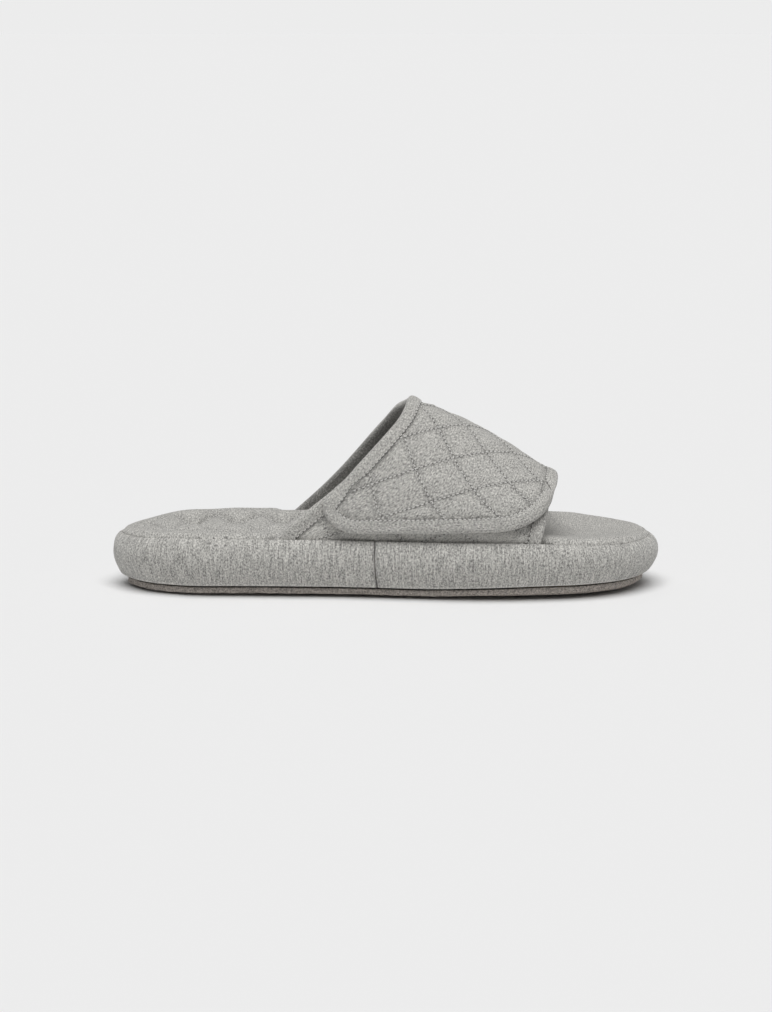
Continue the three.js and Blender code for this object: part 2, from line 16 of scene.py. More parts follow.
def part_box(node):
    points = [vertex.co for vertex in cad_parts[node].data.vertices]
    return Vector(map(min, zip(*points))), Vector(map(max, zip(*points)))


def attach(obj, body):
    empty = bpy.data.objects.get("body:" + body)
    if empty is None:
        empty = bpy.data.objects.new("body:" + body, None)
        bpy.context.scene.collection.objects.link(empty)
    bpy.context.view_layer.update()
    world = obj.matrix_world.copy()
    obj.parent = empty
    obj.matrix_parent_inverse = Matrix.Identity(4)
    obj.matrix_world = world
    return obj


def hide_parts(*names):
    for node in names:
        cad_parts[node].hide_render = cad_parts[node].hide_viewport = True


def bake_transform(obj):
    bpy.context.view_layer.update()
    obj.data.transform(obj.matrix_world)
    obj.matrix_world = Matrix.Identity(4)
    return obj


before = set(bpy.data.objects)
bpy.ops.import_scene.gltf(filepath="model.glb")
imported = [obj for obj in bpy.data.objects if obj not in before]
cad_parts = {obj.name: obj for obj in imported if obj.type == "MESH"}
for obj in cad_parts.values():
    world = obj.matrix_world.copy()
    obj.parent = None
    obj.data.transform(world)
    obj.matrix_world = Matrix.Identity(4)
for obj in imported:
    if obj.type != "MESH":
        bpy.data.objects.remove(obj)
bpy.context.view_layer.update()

MM = 0.001

# ---- Sizes of the slipper, as in the frame -----------------------------------------------------------------

LENGTH = 262.0
HEEL_HALF_WIDTH = 37.5
WAIST_OUTER = 41.0
WAIST_INNER = 37.5
BALL_OUTER = 48.5
BALL_INNER = 49.5
TOE_TIP_Y = 3.0

OUTSOLE_INSET = 6.5
WALL_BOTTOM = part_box("sidewall_wrap_front")[0][2] / MM
JOINT_GAP = 1.2  # dark joint between the wall's cloth and the outsole
OUTSOLE_EDGE = 2.8  # height of the outsole's visible edge
SEAM_HEIGHT = 28.0
SEAM_HEEL_DROP = 2.0
SEAM_TOE_DROP = 3.5
ARCH_RISE = 2.0
ARCH_X = -0.2 * LENGTH
WALL_TUCK_BOTTOM = 5.0
WALL_TUCK_TOP = 3.0
WALL_WIDEST_AT = 0.6
WRAP_JOINT_X = -5.0

STRAP_INSET = 4.5
STRAP_BASE = 27.5
STRAP_THICKNESS = 3.3
STRAP_LIFT = 6.5  # how far the flap stands off the frame's arch, over the under strap
LIFT_PAST_RIDGE = 0.08  # in round_, as are the shares and spans below
REAR_BASE_OUTER_X = -51.5
REAR_BASE_INNER_X = -48.0
REAR_EDGE_BOW = 3.7
REAR_RIDGE_X = 11.0
REAR_RIDGE_RISE = 62.0
FRONT_BASE_X = 72.5
FRONT_RIDGE_X = 79.0
FRONT_RIDGE_RISE = 25.0
RIDGE_BULGE = 4.3
FLAP_EDGE_REAR_RISE = 3.1
FLAP_EDGE_FRONT_RISE = 5.3
FLAP_CORNER_REAR = 22.5
FLAP_CORNER_FRONT = 12.0
FLAP_CORNER_REAR_SHARE = 0.29
FLAP_CORNER_FRONT_SHARE = 0.2
UNDER_END = 64 / 180
UNDER_CORNER = 12 / 180
UNDER_CORNER_SHARE = 0.1
FLAP_EDGE_RAISE = 1.0
FLAP_RAISE_SHARE = 0.45
FLAP_TUCK = 1.5  # how far the flap's lower edge bends in to the strap under it
FLAP_TUCK_SPAN = 0.055

# How far the straps' rear edges lie from the frame's, and each lean's start and run in round_.
OUTER_LEAN = 4.3
OUTER_LEAN_RISE, OUTER_LEAN_FALL = (0.07, 0.08), (0.3, 0.16)
INNER_LEAN = 2.5
INNER_LEAN_RISE, INNER_LEAN_FALL = (0.5, 0.12), (0.75, 0.2)
UNDER_LEAN = 1.0
UNDER_LEAN_RISE = (0.0, 0.18)

STITCH_PITCH = 2.2
STITCH_LENGTH = 1.3
SEWN_DEPTH = 4.0  # how far a strap's end runs down into the seam

# ---- Small helpers -----------------------------------------------------------------------------------------


def mix(a, b, t):
    return a + (b - a) * t


def smooth(t):
    t = np.clip(t, 0.0, 1.0)
    return t * t * (3 - 2 * t)


def ramp(value, start, run):
    """Rises smoothly from 0 at start to 1 at the end of run."""
    return smooth((value - start) / run)


def hump(distance, width):
    """1 at no distance, fading to nothing some widths away."""
    return np.exp(-((distance / width) ** 2))


def run_along(points):
    """The distance along a path from its first point to each of its points."""
    return np.concatenate([[0], np.cumsum(np.linalg.norm(np.diff(points, axis=0), axis=1))])


def unit(v):
    return v / np.maximum(np.linalg.norm(v, axis=-1), 1e-9)[..., None]


def ripple(x, y, size, seed):
    """A smooth uneven surface between -1 and 1, with bumps about size across."""
    dice = np.random.default_rng(seed)
    total = np.zeros(np.broadcast(x, y).shape)
    waves = 14
    for _ in range(waves):
        angle = dice.uniform(0, 2 * math.pi)
        rate = math.pi / size * dice.uniform(0.6, 1.5)
        phase = dice.uniform(0, 2 * math.pi)
        total += np.sin((x * math.cos(angle) + y * math.sin(angle)) * rate + phase)
    return total / math.sqrt(waves)


def deselect():
    bpy.ops.object.select_all(action="DESELECT")


def new_object(name, points, faces):
    """A mesh object from points in millimetres."""
    mesh = bpy.data.meshes.new(name)
    mesh.from_pydata((np.asarray(points) * MM).tolist(), [], faces)
    obj = bpy.data.objects.new(name, mesh)
    bpy.context.scene.collection.objects.link(obj)
    return obj


def face_outwards(obj):
    shape = bmesh.new()
    shape.from_mesh(obj.data)
    bmesh.ops.recalc_face_normals(shape, faces=shape.faces)
    shape.to_mesh(obj.data)
    shape.free()


def smooth_faces(obj):
    obj.data.polygons.foreach_set("use_smooth", [True] * len(obj.data.polygons))


def apply_modifier(obj, kind, **values):
    deselect()
    obj.select_set(True)
    bpy.context.view_layer.objects.active = obj
    modifier = obj.modifiers.new(kind.title(), kind)
    for key, value in values.items():
        setattr(modifier, key, value)
    bpy.ops.object.modifier_apply(modifier=modifier.name)


def set_cloth_map(obj, flat):
    """Stores each point's place on the flat cloth, in millimetres, as the piece's UV map."""
    layer = obj.data.uv_layers.new(name="cloth")
    corners = np.zeros(len(obj.data.loops), dtype=np.int32)
    obj.data.loops.foreach_get("vertex_index", corners)
    layer.data.foreach_set("uv", np.asarray(flat, dtype=np.float32)[corners].ravel())


def set_mask(obj, name, values):
    layer = obj.data.attributes.new(name=name, type="FLOAT", domain="POINT")
    layer.data.foreach_set("value", np.asarray(values, dtype=np.float32))


# ---- Plan outline ------------------------------------------------------------------------------------------

OUTLINE_POINTS = [
    (0, 0),
    (0.045, -0.6 * HEEL_HALF_WIDTH),
    (0.13, -0.93 * HEEL_HALF_WIDTH),
    (0.26, -HEEL_HALF_WIDTH - 0.5),
    (0.44, -WAIST_OUTER),
    (0.6, -mix(WAIST_OUTER, BALL_OUTER, 0.8)),
    (0.74, -BALL_OUTER),
    (0.875, -0.86 * BALL_OUTER),
    (0.96, -0.52 * BALL_OUTER),
    (1, TOE_TIP_Y),
    (0.965, 0.58 * BALL_INNER),
    (0.885, 0.86 * BALL_INNER),
    (0.76, BALL_INNER),
    (0.62, mix(WAIST_INNER, BALL_INNER, 0.8)),
    (0.45, WAIST_INNER + 1),
    (0.3, WAIST_INNER - 1),
    (0.15, 0.95 * HEEL_HALF_WIDTH),
    (0.05, 0.64 * HEEL_HALF_WIDTH),
]


def curve_through(points, steps):
    """A closed smooth curve through the points, with evenly shared bends."""
    count, rows = len(points), []
    for i in range(count):
        p = [points[(i + k) % count] for k in (-1, 0, 1, 2)]
        d = [math.sqrt(np.linalg.norm(p[k + 1] - p[k])) for k in range(3)]
        start = d[1] * ((p[1] - p[0]) / d[0] - (p[2] - p[0]) / (d[0] + d[1]) + (p[2] - p[1]) / d[1])
        end = d[1] * ((p[2] - p[1]) / d[1] - (p[3] - p[1]) / (d[1] + d[2]) + (p[3] - p[2]) / d[2])
        t = np.arange(steps)[:, None] / steps
        cubic = 2 * p[1] - 2 * p[2] + start + end
        square = -3 * p[1] + 3 * p[2] - 2 * start - end
        rows.append(p[1] + start * t + square * t**2 + cubic * t**3)
    return np.vstack(rows)


OUTLINE = curve_through(np.array([((s - 0.5) * LENGTH, y) for s, y in OUTLINE_POINTS]), 120)
CLOSED_OUTLINE = np.vstack([OUTLINE, OUTLINE[:1]])
OUTLINE_AT = run_along(CLOSED_OUTLINE)
PERIMETER = OUTLINE_AT[-1]


def outline_at(distance):
    """The outline's points and inward directions at distances along it.

    Distances run from the heel round the outer side.
    """
    distance = np.mod(distance, PERIMETER)

    def at(d):
        d = np.mod(d, PERIMETER)
        return np.stack([np.interp(d, OUTLINE_AT, CLOSED_OUTLINE[:, k]) for k in (0, 1)], -1)

    half_step = 0.8
    run = unit(at(distance + half_step) - at(distance - half_step))
    return at(distance), np.stack([-run[..., 1], run[..., 0]], -1)


def inset_outline(distance, inset):
    point, inward = outline_at(distance)
    return point + inward * np.asarray(inset)[..., None]


def strap_ring():
    """The line that the straps' bases stand on, as its outer and its inner half, each from heel to toe."""
    ring = inset_outline(np.linspace(0, PERIMETER, 2000, endpoint=False), STRAP_INSET)
    tip = int(np.argmax(ring[:, 0]))
    return ring[: tip + 1], np.vstack([ring[:1], ring[tip:][::-1]])


STRAP_RING_OUTER, STRAP_RING_INNER = strap_ring()


def half_width(x, inner):
    outer_y = np.interp(x, STRAP_RING_OUTER[:, 0], STRAP_RING_OUTER[:, 1])
    inner_y = np.interp(x, STRAP_RING_INNER[:, 0], STRAP_RING_INNER[:, 1])
    return np.abs(np.where(inner, inner_y, outer_y))


def joint_distance(side):
    """Distance along the outline of the wrap's upright seam on the outer (-1) or inner (1) side."""
    along = np.linspace(0, PERIMETER, 4000, endpoint=False)
    points, _ = outline_at(along)
    on_side = np.sign(points[:, 1]) == side
    return along[np.argmin(np.where(on_side, np.abs(points[:, 0] - WRAP_JOINT_X), np.inf))]


def seam_height(x, y):
    """The height of the seam between wall and sock: lower at the heel and the toe, higher under the arch."""
    heel = ramp(-x, 0.36 * LENGTH, 0.14 * LENGTH)
    toe = ramp(x, 0.2 * LENGTH, 0.3 * LENGTH)
    reach = 1 - ramp(np.abs(x - ARCH_X), 20, 0.36 * LENGTH - 20)
    height = SEAM_HEIGHT - SEAM_HEEL_DROP * heel - SEAM_TOE_DROP * toe
    return height + ARCH_RISE * ramp(y, -10, 40) * reach


HEEL_LIFT, WAIST_LIFT, TOE_LIFT = 0.6, 0.4, 1.7  # each adds to those before it


def edge_lift(x):
    """How much higher the wall's lower edge lies than in the frame, as the sole springs up to the toe."""
    return HEEL_LIFT + WAIST_LIFT * ramp(x, -110, 60) + TOE_LIFT * ramp(x, 10, 70)


def wall_inset(share):
    below = np.clip(1 - share / WALL_WIDEST_AT, 0, 1)
    above = np.clip((share - WALL_WIDEST_AT) / (1 - WALL_WIDEST_AT), 0, 1)
    return WALL_TUCK_BOTTOM * below**2 + WALL_TUCK_TOP * above**2


# ---- The arch that the straps follow -----------------------------------------------------------------------


def arch_rise(along):
    return mix(REAR_RIDGE_RISE, FRONT_RIDGE_RISE, along) + RIDGE_BULGE * np.sin(np.pi * along)


def arch_point(round_, along):
    """A place on the arch.

    round_ runs from 0 at the outer seam over the ridge at 0.5 to 1 at the inner seam.
    along runs from 0 at the rear to 1 at the front.
    """
    held = np.clip(round_, 0, 1)
    rise = np.sin(np.pi * held)
    bow = REAR_EDGE_BOW * ramp(round_, 0.5, 0.2) * np.sin(np.pi * rise)
    rear = mix(mix(REAR_BASE_OUTER_X, REAR_BASE_INNER_X, held), REAR_RIDGE_X, rise) + bow
    x = mix(rear, mix(FRONT_BASE_X, FRONT_RIDGE_X, rise), along)
    y = -half_width(x, round_ >= 0.5) * np.cos(np.pi * held)
    z = STRAP_BASE + arch_rise(along) * np.sin(np.pi * round_)
    return np.stack([x, y, z], -1)


def arch_normal(round_, along):
    step = 0.004
    across = arch_point(round_ + step, along) - arch_point(round_ - step, along)
    forward = arch_point(round_, along + step) - arch_point(round_, along - step)
    return unit(np.cross(forward, across))


def flap_lift(round_):
    return STRAP_LIFT * smooth((0.5 - round_ + LIFT_PAST_RIDGE) / (LIFT_PAST_RIDGE + 0.5 - UNDER_END))


def rear_lean(round_, along):
    """How far the wrap strap lies in front of the frame's, mostly at its rear edge."""
    outer = OUTER_LEAN * ramp(round_, *OUTER_LEAN_RISE) * (1 - ramp(round_, *OUTER_LEAN_FALL))
    inner = INNER_LEAN * ramp(round_, *INNER_LEAN_RISE) * (1 - ramp(round_, *INNER_LEAN_FALL))
    return (outer - inner) * (1 - np.clip(along, 0, 1)) ** 2


def wrap_surface(round_, along, offset):
    tuck = FLAP_TUCK * (1 - ramp(round_, flap_end(np.clip(along, 0, 1)), FLAP_TUCK_SPAN))
    lift = flap_lift(round_) - tuck + offset
    place = arch_point(round_, along) + arch_normal(round_, along) * lift[..., None]
    place[..., 0] += rear_lean(round_, along)
    return place


def under_surface(round_, along, offset):
    place = arch_point(round_, along) + arch_normal(round_, along) * (offset + 0 * round_)[..., None]
    lean = mix(-UNDER_LEAN, OUTER_LEAN, ramp(round_, *UNDER_LEAN_RISE)) * (1 - ramp(round_, *OUTER_LEAN_FALL))
    place[..., 0] += lean * (1 - np.clip(along, 0, 1)) ** 3
    return place


def round_at(rise, along):
    return np.arcsin(np.clip(rise / arch_rise(along), -1, 1)) / np.pi


def corner(along, share):
    return 1 - np.sqrt(1 - np.clip(1 - along / share, 0, 1) ** 2)


def sharp_corner(along, share):
    depth = 1 + math.sqrt(0.5)
    across = depth * np.clip(along / share, 0, 1)
    return 1 - (across + np.sqrt(1 - (1 - across) ** 2)) / (depth + math.sqrt(0.5))


def flap_end(along):
    raised = FLAP_EDGE_RAISE * smooth(along / FLAP_RAISE_SHARE)
    base = mix(FLAP_EDGE_REAR_RISE, FLAP_EDGE_FRONT_RISE, along) + raised
    rear = FLAP_CORNER_REAR * sharp_corner(along, FLAP_CORNER_REAR_SHARE)
    return round_at(base + rear + FLAP_CORNER_FRONT * corner(1 - along, FLAP_CORNER_FRONT_SHARE), along)


def under_end(along):
    corners = corner(along, UNDER_CORNER_SHARE) + corner(1 - along, UNDER_CORNER_SHARE)
    return UNDER_END - UNDER_CORNER * corners


# ---- Panels of padded cloth --------------------------------------------------------------------------------


def spaced(path, surface, step):
    """Points evenly spaced along a path of (round, along), about step apart on the surface."""
    path = np.asarray(path)
    places = surface(path[:, 0], path[:, 1], np.zeros(len(path)))
    run = run_along(places)
    count = max(int(round(run[-1] / step)), 1)
    at = np.linspace(0, run[-1], count + 1)
    return np.stack([np.interp(at, run, path[:, k]) for k in (0, 1)], -1)


def inside(points, border):
    """Which points lie inside a closed border, by counting the sides that a ray crosses."""
    x, y = points[:, 0], points[:, 1]
    hit = np.zeros(len(points), dtype=bool)
    for (x0, y0), (x1, y1) in zip(border, np.roll(border, -1, axis=0)):
        if y0 == y1:
            continue
        spans = (y0 > y) != (y1 > y)
        hit ^= spans & (x < (x1 - x0) * (y - y0) / (y1 - y0) + x0)
    return hit


def nearest(points, targets):
    """Each point's distance to the nearest of the targets."""
    tree = KDTree(len(targets))
    for i, target in enumerate(targets):
        tree.insert(Vector(target), i)
    tree.balance()
    return np.array([tree.find(Vector(p))[2] for p in points])


def in_space(flat):
    return np.column_stack([flat, np.zeros(len(flat))])


ROW_SHARE = 0.866  # a row of equal triangles' height over their side
GRID_GAP = 0.62  # nearest that the grid comes to a fixed point, as a share of its spacing


def triangulate(border, lines, spacing):
    """Triangles over a flat panel, through its border's and stitch lines' points and a grid between them."""
    low, high = border.min(0), border.max(0)
    rows = np.arange(low[1], high[1], spacing * ROW_SHARE)
    grid = [
        (x, y)
        for i, y in enumerate(rows)
        for x in np.arange(low[0] + (i % 2) * spacing / 2, high[0], spacing)
    ]
    grid = np.array(grid)
    grid = grid[inside(grid, border)]
    fixed = np.vstack([border, lines]) if len(lines) else border
    grid = grid[nearest(in_space(grid), in_space(fixed)) > spacing * GRID_GAP]
    points = np.vstack([fixed, grid])
    edges = [(i, (i + 1) % len(border)) for i in range(len(border))]
    made = delaunay_2d_cdt([Vector(p) for p in points], edges, [], 1, 1e-6)
    return np.array([tuple(p) for p in made[0]]), [tuple(f) for f in made[2]]


def pillow(name, flat_faces, top, bottom, rim):
    """A closed body from two layers of the same triangles, joined where rim is true."""
    count = len(top)
    lower = np.where(rim, np.arange(count), 0)
    spare = np.flatnonzero(~rim)
    lower[spare] = count + np.arange(len(spare))
    points = np.vstack([top, bottom[spare]])
    faces = list(flat_faces) + [tuple(int(lower[i]) for i in reversed(f)) for f in flat_faces]
    return new_object(name, points, faces), lower


def inflate(obj, held, pressure, swell, reach, scale=50.0, frames=16):
    """Lets the cloth swell between its held points, each point moving up to reach in millimetres."""
    count = len(obj.data.vertices)
    before = np.zeros(count * 3)
    obj.data.vertices.foreach_get("co", before)
    obj.data.vertices.foreach_set("co", before * scale)
    group = obj.vertex_groups.new(name="held")
    group.add([int(i) for i in held], 1.0, "REPLACE")
    cloth = obj.modifiers.new("Cloth", "CLOTH")
    settings = cloth.settings
    settings.quality = 5
    settings.mass = 0.3
    settings.tension_stiffness = 12
    settings.compression_stiffness = 12
    settings.shear_stiffness = 4
    settings.bending_stiffness = 0.4
    settings.use_pressure = True
    settings.uniform_pressure_force = pressure
    settings.shrink_min = -swell
    settings.vertex_group_mass = "held"
    settings.effector_weights.gravity = 0
    cloth.collision_settings.use_collision = False
    cloth.point_cache.frame_start = 1
    cloth.point_cache.frame_end = frames
    scene = bpy.context.scene
    for number in range(1, frames + 1):
        scene.frame_set(number)
    posed = obj.evaluated_get(bpy.context.evaluated_depsgraph_get())
    after = np.zeros(count * 3)
    posed.data.vertices.foreach_get("co", after)
    obj.modifiers.remove(cloth)
    obj.vertex_groups.remove(group)
    scene.frame_set(1)
    move = (after / scale - before).reshape(-1, 3)
    size = np.linalg.norm(move, axis=1)
    limit = reach * MM
    move *= (limit * np.tanh(size / limit) / np.maximum(size, 1e-12))[:, None]
    obj.data.vertices.foreach_set("co", before + move.ravel())
    obj.data.update()


def finish_cloth(obj, flat, masks):
    """Adds the cloth map and masks, then one subdivision."""
    set_cloth_map(obj, flat)
    for name, values in masks.items():
        set_mask(obj, name, values)
    apply_modifier(obj, "SUBSURF", levels=1, render_levels=1)
    smooth_faces(obj)


# ---- Quilting of the straps --------------------------------------------------------------------------------

RISING = (0.378, 0.091, 0.147)  # slope, first line and spacing of the lines that rise to the front
FALLING = (-0.42, 0.323, 0.115)
GRID_ROUND = 150.0  # millimetres that one unit of round_ and of along stand for on the flat cloth
GRID_ALONG = 100.0


def quilt_phase(round_, along, family):
    slope, first, spacing = family
    return (round_ - slope * along - first) / spacing


def quilt_puff(round_, along):
    rising = np.abs(np.sin(np.pi * quilt_phase(round_, along, RISING)))
    falling = np.abs(np.sin(np.pi * quilt_phase(round_, along, FALLING)))
    return (rising * falling) ** 0.5


def quilt_lines(family, low, high):
    """The lines of one family that cross a panel, as dense paths of (round, along)."""
    slope, first, spacing = family
    along = np.linspace(0, 1, 240)
    lines = []
    for k in range(-12, 14):
        round_ = first + spacing * k + slope * along
        if round_.max() > low and round_.min() < high:
            lines.append(np.column_stack([round_, along]))
    return lines


def edge_path(end, start):
    """A strap's free edge: up its rear from start, round its end and back down its front."""
    side_count, end_count = 60, 160
    cosine = (1 - np.cos(np.pi * np.linspace(0, 1, end_count))) / 2
    rear = np.column_stack([np.linspace(start(0.0), end(0.0), side_count), np.zeros(side_count)])
    round_end = np.column_stack([end(cosine), cosine])
    front = np.column_stack([np.linspace(end(1.0), start(1.0), side_count), np.ones(side_count)])
    return np.vstack([rear, round_end[1:-1], front])


STRAP_STEP = 1.8  # between the points of a strap's mesh
SHELL_SINK, LINING_SINK = 0.75, 0.6  # how far the quilting threads pull each face in
LOOP_SEAT, HOOK_SEAT = 0.35, 0.55  # how far each face rises to its tape
THREAD_SHADE_HALF_WIDTH, EDGE_SHADE_HALF_WIDTH = 0.75, 0.6  # half widths of the painted shade along threads and bindings
# strength of the painted shade along a strap's binding
EDGE_PAINTED_SHADE = 1.6
# painted shade on a strap's lining face, which lies in shade under the arch
STRAP_LINING_PAINTED_SHADE = 0.6
FOOT_PAINTED_LIGHT = 1.1  # painted light: a strap is painted paler right above the wall, where the flap's shadow falls


def strap_painted_shade(round_, from_thread, from_edge):
    """Painted shade: how dark the cloth is painted along its threads and its binding, where the creases lie
    in shade, and painted lighter at its foot, where the flap's shadow falls.
    """
    border = EDGE_PAINTED_SHADE * hump(from_edge - BINDING_REACH, EDGE_SHADE_HALF_WIDTH)
    groove_and_painted_shade = np.maximum(hump(from_thread, THREAD_SHADE_HALF_WIDTH), border)
    # painted light: less shade at the strap's foot, against the flap's shadow
    return groove_and_painted_shade - FOOT_PAINTED_LIGHT * (1 - ramp(round_, 0.03, 0.06))


def strap_panel(name, surface, free, puff, flat_spots):
    """A quilted strap inside its free edge, swelling by puff outward and inward.

    flat_spots mask where its upper and its lower face stay flat.
    """
    step = STRAP_STEP
    sewn = sewn_end(free)
    free_edge, sewn_edge = spaced(free, surface, step), spaced(sewn, surface, step)
    border = np.vstack([free_edge[:-1], sewn_edge[:-1]])
    edge_places = surface(free_edge[:, 0], free_edge[:, 1], np.zeros(len(free_edge)))
    threads = []
    for line in quilt_lines(RISING, *STRAP_SPAN[name]) + quilt_lines(FALLING, *STRAP_SPAN[name]):
        line = spaced(line, surface, step)
        line = line[inside(line, border)]
        if len(line) < 3:
            continue
        places = surface(line[:, 0], line[:, 1], np.zeros(len(line)))
        line = line[nearest(places, edge_places) > BINDING_REACH + 0.1]
        if len(line) > 3:
            threads.append(line)
    scale = np.array([GRID_ROUND, GRID_ALONG])
    flat, faces = triangulate(border * scale, np.vstack(threads) * scale, step)
    round_, along = flat[:, 0] / GRID_ROUND, flat[:, 1] / GRID_ALONG
    places = surface(round_, along, np.zeros(len(flat)))
    from_edge = nearest(places, edge_places)
    all_edge = surface(border[:, 0], border[:, 1], np.zeros(len(border)))
    rim = nearest(places, all_edge) < 0.05
    open_cloth = smooth((from_edge - BINDING_REACH + 0.4) / 3.2)  # held flat beside its binding
    bulge = quilt_puff(round_, along) * open_cloth
    on_top, below = flat_spots(round_, along)
    top_offset = -SHELL_SINK + puff[0] * bulge * (1 - on_top) + LOOP_SEAT * on_top
    low_offset = -STRAP_THICKNESS + LINING_SINK - puff[1] * bulge * (1 - below) - HOOK_SEAT * below
    middle = -STRAP_THICKNESS / 2
    top = surface(round_, along, np.where(rim, middle, top_offset))
    bottom = surface(round_, along, np.where(rim, middle, low_offset))
    obj, lower = pillow(name, faces, top, bottom, rim)
    thread_places = surface(*np.vstack(threads).T, np.zeros(sum(map(len, threads))))
    from_thread = nearest(places, thread_places)
    sewn_down = rim | (from_thread < 0.3) | (from_edge < BINDING_REACH - 0.2)
    held_top, held_low = sewn_down | (on_top > 0.5), sewn_down | (below > 0.5)
    keep = np.concatenate([np.flatnonzero(held_top), lower[np.flatnonzero(held_low)]])
    inflate(obj, np.unique(keep), pressure=9.0, swell=0.05, reach=0.9)
    cloth = np.column_stack([along * GRID_ALONG, round_ * GRID_ROUND])
    order = np.concatenate([np.arange(len(flat)), np.flatnonzero(~rim)])
    # painted shade along the threads and the binding, and painted light at the strap's foot
    groove_and_painted_shade = strap_painted_shade(round_, from_thread, from_edge)[order]
    on_lining = np.arange(len(order)) >= len(flat)
    # painted shade: the lining face is darkened at least this much
    groove_and_painted_shade = np.where(on_lining, np.maximum(groove_and_painted_shade, STRAP_LINING_PAINTED_SHADE), groove_and_painted_shade)
    finish_cloth(obj, cloth[order], {"groove_and_painted_shade": groove_and_painted_shade})
    face_outwards(obj)
    return obj, threads


# ---- Stitches ----------------------------------------------------------------------------------------------

THREAD_SIDES = 6
THREAD_RADIUS, FINE_THREAD_RADIUS = 0.21, 0.19
HOLE_RADIUS = 0.29
HOLE_LONG, HOLE_WIDE = 1.15, 0.8  # a needle hole is pulled longer along its row
HOLE_LIP, HOLE_DEPTH = 0.08, 0.25


def stitch_mesh(name, seats, runs, ups, radius):
    """Short threads, one at each seat, lying along runs, and the needle hole before each, as one object."""
    rings = np.array([(-1.0, 0.35), (-0.55, 1.0), (0.55, 1.0), (1.0, 0.35)])
    turn = np.arange(THREAD_SIDES) * 2 * math.pi / THREAD_SIDES
    points, faces = [], []
    for seat, run, up in zip(seats, runs, ups):
        side = unit(np.cross(run, up))
        base = len(points)
        for reach, swell in rings:
            sink = -0.35 * radius * abs(reach) ** 3
            middle = seat + run * (reach * STITCH_LENGTH / 2) + up * sink
            for a in turn:
                points.append(middle + radius * swell * (math.cos(a) * side + math.sin(a) * up))
        for _ in rings[1:]:
            for j in range(THREAD_SIDES):
                a, b = base + j, base + (j + 1) % THREAD_SIDES
                faces.append((a, b, b + THREAD_SIDES, a + THREAD_SIDES))
            base += THREAD_SIDES
        faces.append(tuple(base - 3 * THREAD_SIDES + j for j in reversed(range(THREAD_SIDES))))
        faces.append(tuple(base + j for j in range(THREAD_SIDES)))
    threads = len(faces)
    for seat, run, up in zip(seats, runs, ups):
        side = unit(np.cross(run, up))
        base = len(points)
        middle = seat + run * (STITCH_PITCH / 2) - up * radius * 0.3
        for a in turn:
            out = HOLE_LONG * math.cos(a) * run + HOLE_WIDE * math.sin(a) * side
            points.append(middle + HOLE_RADIUS * out)
        points.extend([middle + up * HOLE_LIP, middle - up * HOLE_DEPTH])
        lip, bottom = base + THREAD_SIDES, base + THREAD_SIDES + 1
        for j in range(THREAD_SIDES):
            a, b = base + j, base + (j + 1) % THREAD_SIDES
            faces.extend([(a, b, lip), (b, a, bottom)])
    obj = new_object(name, points, faces)
    face_outwards(obj)
    smooth_faces(obj)
    obj.data.materials.append(None)
    obj.data.materials.append(None)
    for face in obj.data.polygons[threads:]:
        face.material_index = 1
    return obj


RAY_START, RAY_REACH = 5.0, 12.0


def surface_hits(obj, starts, directions, depth):
    """Where rays from starts meet a piece, with the start moved by depth where they miss."""
    found = []
    for start, direction in zip(starts, directions):
        hit, place, _, _ = obj.ray_cast(Vector(start * MM), Vector(direction), distance=RAY_REACH * MM)
        found.append(np.array(place) / MM if hit else start + direction * depth)
    return np.array(found)


def stitch_rows(name, obj, surface, rows, side, radius=THREAD_RADIUS):
    """Stitches lying on a piece along rows of (round, along), on its upper (1) or lower (-1) side."""
    seats, runs, ups = [], [], []
    for row in rows:
        row = spaced(row, surface, STITCH_PITCH)
        if len(row) < 3:
            continue
        places = surface(row[:, 0], row[:, 1], np.zeros(len(row)))
        normal = arch_normal(row[:, 0], row[:, 1]) * side
        run = unit(np.gradient(places, axis=0))
        high = places + normal * (RAY_START if side > 0 else RAY_START + STRAP_THICKNESS)
        seat = surface_hits(obj, high, -normal, RAY_START)
        seats.extend(seat + normal * radius * 0.7)
        runs.extend(run)
        ups.extend(normal)
    return stitch_mesh(name, seats, runs, ups, radius)


# ---- Bindings ----------------------------------------------------------------------------------------------

BINDING_REACH = 6.1
BINDING_STEP = 1.2
BINDING_UNEVEN = 0.16
BINDING_PULL = 0.1  # how far each topstitch pulls the binding in
# painted shade: half width and strength of the dark line painted along a binding's sewn border, where it dips
# into shade
BINDING_SHADE_HALF_WIDTH, BINDING_EDGE_PAINTED_SHADE = 0.283, 2.4
# painted shade on a binding's lining side
BINDING_LINING_PAINTED_SHADE = 1.9

# Half of a binding's section, from its sewn border to its fold: the distance in from the edge, and the height
# over the strap's face.
BINDING_FACE = [
    (BINDING_REACH, -0.9), (5.95, -0.35), (5.6, 0.02), (5.0, 0.2), (3.9, 0.4),
    (2.6, 0.62), (1.3, 0.72), (0.4, 0.5), (-0.15, 0.05), (-0.5, -0.7),
]


def binding_section():
    face = np.array(BINDING_FACE)
    back = face[::-1] * [1, -1] - [0, STRAP_THICKNESS]
    fold = np.array([(-0.7, -STRAP_THICKNESS / 2)])
    return np.vstack([face, fold, back])


def step_in(surface, path, distance, side):
    """Moves each (round, along) of a path in from the edge by a distance square to it."""
    step = 0.003
    zero = np.zeros(len(path))
    r, a = path[:, 0], path[:, 1]
    du = (surface(r + step, a, zero) - surface(r - step, a, zero)) / (2 * step)
    dv = (surface(r, a + step, zero) - surface(r, a - step, zero)) / (2 * step)
    run = unit(np.gradient(surface(r, a, zero), axis=0))
    inward = np.cross(unit(np.cross(du, dv)), run) * side * distance
    uu, uv, vv = (du * du).sum(1), (du * dv).sum(1), (dv * dv).sum(1)
    iu, iv = (inward * du).sum(1), (inward * dv).sum(1)
    det = uu * vv - uv * uv
    return np.column_stack([r + (iu * vv - iv * uv) / det, a + (iv * uu - iu * uv) / det])


